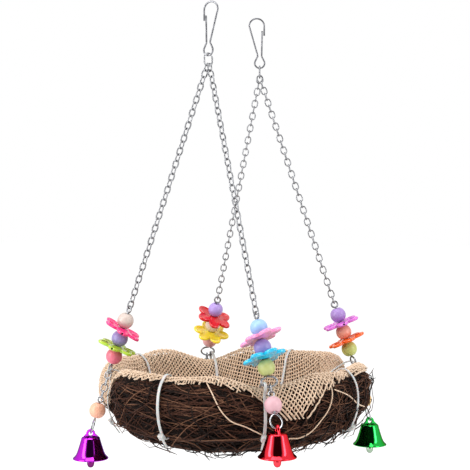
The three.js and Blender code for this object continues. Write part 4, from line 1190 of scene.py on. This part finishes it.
def yarns(across, dice):
    """bmesh of the yarns of one direction. across is 0 for the warp and 1 for the weft."""
    count = int(max(HEM_TABLE) / YARN_PITCH) + 1
    paths, thickness = [], []
    for i in range(-count, count + 1):
        start_fray, end_fray = dice.random(), dice.random()
        thick = dice.uniform(*YARN_SPREAD)
        offset = i * YARN_PITCH + dice.gauss(0.0, YARN_SHAKE)
        points, shares = [], []
        for j in range(-count, count + 1):
            along = j * YARN_PITCH
            u, v = (offset, along) if across == 0 else (along, offset)
            angle = cloth_angle(u, v)
            fray = (start_fray if j < 0 else end_fray) * fray_length(angle)
            if hypot(u, v) > min(hem_reach(angle) + fray, cloth_skin.lengths[-1]):
                if points and j > 0:
                    break
                if j <= 0:
                    points, shares = [], []
                continue
            over = WEAVE_HEIGHT if (i + j + across) % 2 == 0 else -WEAVE_HEIGHT
            points.append(cloth_place(u, v, over))
            shares.append(thick * dice.uniform(*SLUB_SPREAD))
        if len(points) >= FEWEST_KNOTS:
            paths.append(points)
            thickness.append(shares)
    return bent_wire(paths, YARN_RADIUS, 0, thickness=thickness)


jute = finish_of(
    "jute", "e3c9af", "af8c69", 900.0, 0.75, (0.85, 1.0), 0.0003, Sheen_Weight=0.25, Sheen_Roughness=0.5
)
dice = random.Random(615)
weft = piece_from("burlap_weft", yarns(1, dice), jute, "nest")
warp = piece_from("burlap_warp", yarns(0, dice), jute, "nest", "burlap_liner")

# Cable ties. White nylon straps go over the rim, or through a rim eye beside the drop's first link, down
# both faces of the wall and through it, with the locking head and a short tail outside.
TIE_WIDTH = 0.0022
TIE_THICKNESS = 0.0009
TIE_HEAD = (0.0030, 0.0044, 0.0046)
TIE_TAIL = 0.008
TIE_STAND = 0.00295
TIE_SLACK = 0.0031
TIE_INNER = -0.022
TIE_OUTER = -0.033
EYE_APPROACH = 0.004
EYE_CLEARING = 0.0018
EYE_PASS = 0.0004
TIE_BITE = Vector((0.004, -0.001))
HEAD_BEVEL = 0.0006
TAIL_LEAN = 1.6
nylon = finish_of(
    "nylon", "b8b8b6", "9b9b98", 300.0, 0.5, (0.28, 0.42), 0.00004,
    Subsurface_Weight=0.15, Subsurface_Scale=0.002,
)


def wall_knots(profile, lowest, angle):
    """Places of a tie's strap on one face of the wall, from the lowest up."""
    levels = [lowest] + sorted(level for _, level in profile if level > lowest)
    ordered = sorted(profile, key=lambda knot: knot[1])
    knots = []
    for level in levels:
        for (r0, z0), (r1, z1) in zip(ordered, ordered[1:]):
            if z0 <= level <= z1:
                knots.append(shaped(r0 + (r1 - r0) * (level - z0) / (z1 - z0), angle, level))
                break
    return knots


def stood_off(run, distance):
    """Run of (radius, level) moved off the wall, to the left of its way."""
    moved = []
    for i, (radius, level) in enumerate(run):
        (r0, z0), (r1, z1) = run[max(i - 1, 0)], run[min(i + 1, len(run) - 1)]
        length = hypot(r1 - r0, z1 - z0)
        moved.append((radius - (z1 - z0) / length * distance, level + (r1 - r0) / length * distance))
    return moved


def strap(run):
    """Flat strap along a run of (radius, level), lying across the tangent."""
    points = [Vector((radius, level, 0.0)) for radius, level in run]
    return bent_wire([points], TIE_THICKNESS / 2, 2, flat=(TIE_WIDTH - TIE_THICKNESS) / 2)


def cable_tie(angle, aside):
    """bmesh of a closed tie at an angle. A tie that stands aside goes through a rim eye."""
    inner = wall_knots(INNER_WALL + [CREST], TIE_INNER, angle)[:-1]
    outer = wall_knots(OUTER_WALL + [CREST], TIE_OUTER, angle)[:-1][::-1]
    run = stood_off(inner + [shaped(CREST[0], angle, CREST[1])] + outer, TIE_STAND)
    if aside:
        face = EYE_RADIUS + EYE_CLEARING + TIE_THICKNESS / 2 + GAP
        level = EYE_HEIGHT - TIE_THICKNESS / 2
        eye_foot = EYE_HEIGHT - RIM_EYE_HEIGHT / 2 - EYE_PASS
        at = len(inner) + 1
        run[at:at] = [(EYE_RADIUS - EYE_APPROACH, level), (face, level), (face, eye_foot)]
    foot, above = Vector(run[-1]), Vector(run[-2])
    along = (above - foot).normalized()
    out = Vector((along.y, -along.x))
    bitten = [(run[0][0] + TIE_BITE.x, run[0][1] + TIE_BITE.y), *run]
    bitten.append((foot.x - TIE_BITE.x, foot.y - TIE_BITE.y))
    band = strap(rounded(bitten))
    seat = foot + along * TIE_HEAD[2] + out * (TIE_HEAD[0] - TIE_THICKNESS) / 2
    tip = seat - along * (TIE_HEAD[2] / 2 + TIE_TAIL)
    lean = out * (TIE_HEAD[0] / 2 - TIE_THICKNESS)
    tail = strap([seat + lean, (seat + tip) / 2 + lean, tip + lean * TAIL_LEAN])
    head = bmesh.new()
    bmesh.ops.create_cube(head, size=1.0)
    bmesh.ops.scale(head, verts=head.verts, vec=(TIE_HEAD[0], TIE_HEAD[2], TIE_HEAD[1]))
    bmesh.ops.bevel(
        head, geom=head.edges[:], offset=HEAD_BEVEL, offset_type="OFFSET", segments=3, profile=0.5,
        affect="EDGES", material=-1,
    )
    upright = Matrix.Rotation(-atan2(along.x, along.y), 3, "Z")
    bmesh.ops.rotate(head, verts=head.verts, cent=(0, 0, 0), matrix=upright)
    bmesh.ops.translate(head, verts=head.verts, vec=(seat.x, seat.y, 0.0))
    bm = merged(band, tail, head)
    radial = outwards(angle)
    tangent = UP.cross(radial)
    place = basis(UP * crest_level + tangent * aside, radial, UP, -tangent)
    bmesh.ops.transform(bm, matrix=place, verts=bm.verts)
    return bm


ties = {"right_tie": (0, 0.0), "back_tie": (90, 0.0), "left_tie": (180, 0.0), "front_tie": (-90, 0.0)}
for leg in LEGS:
    side = 1 if leg in ("back_right", "front_left") else -1
    ties[f"{leg}_tie"] = (STATION[leg], side * TIE_SLACK)
for node, (angle, aside) in ties.items():
    piece_from(f"{node}_strap", cable_tie(angle, aside), nylon, "nest", node)

# Loose jute. A few single yarns pulled from the cut edge lie over the front of the bowl. Each goes
# through a few places, given as an angle round the bowl and a level below its crest.
STRAND_RADIUS = 0.00045
STRAND_LIFT = 0.0021
STRAND_STEPS = 6
YARN_ENDS = [
    [(-72, 0.001), (-69, -0.006), (-62, -0.019), (-54, -0.026), (-47, -0.030)],
    [(-17, -0.003), (-19, -0.013), (-23, -0.025), (-30, -0.032), (-36, -0.034)],
    [(-17, -0.009), (-8, -0.014), (2, -0.019), (8, -0.022)],
]


def outer_length(level):
    """Length up the wall's outside to a level."""
    for (radius, height), length in zip(outer_skin.profile, outer_skin.lengths):
        if height >= level:
            return length
    return crest_length


paths = []
for knots in YARN_ENDS:
    paths.append([wall_place(angle, outer_length(level), STRAND_LIFT) for angle, level in knots])
bm = bent_wire(paths, STRAND_RADIUS, 1, smooth=STRAND_STEPS)
piece_from("loose_jute", bm, jute, "nest")
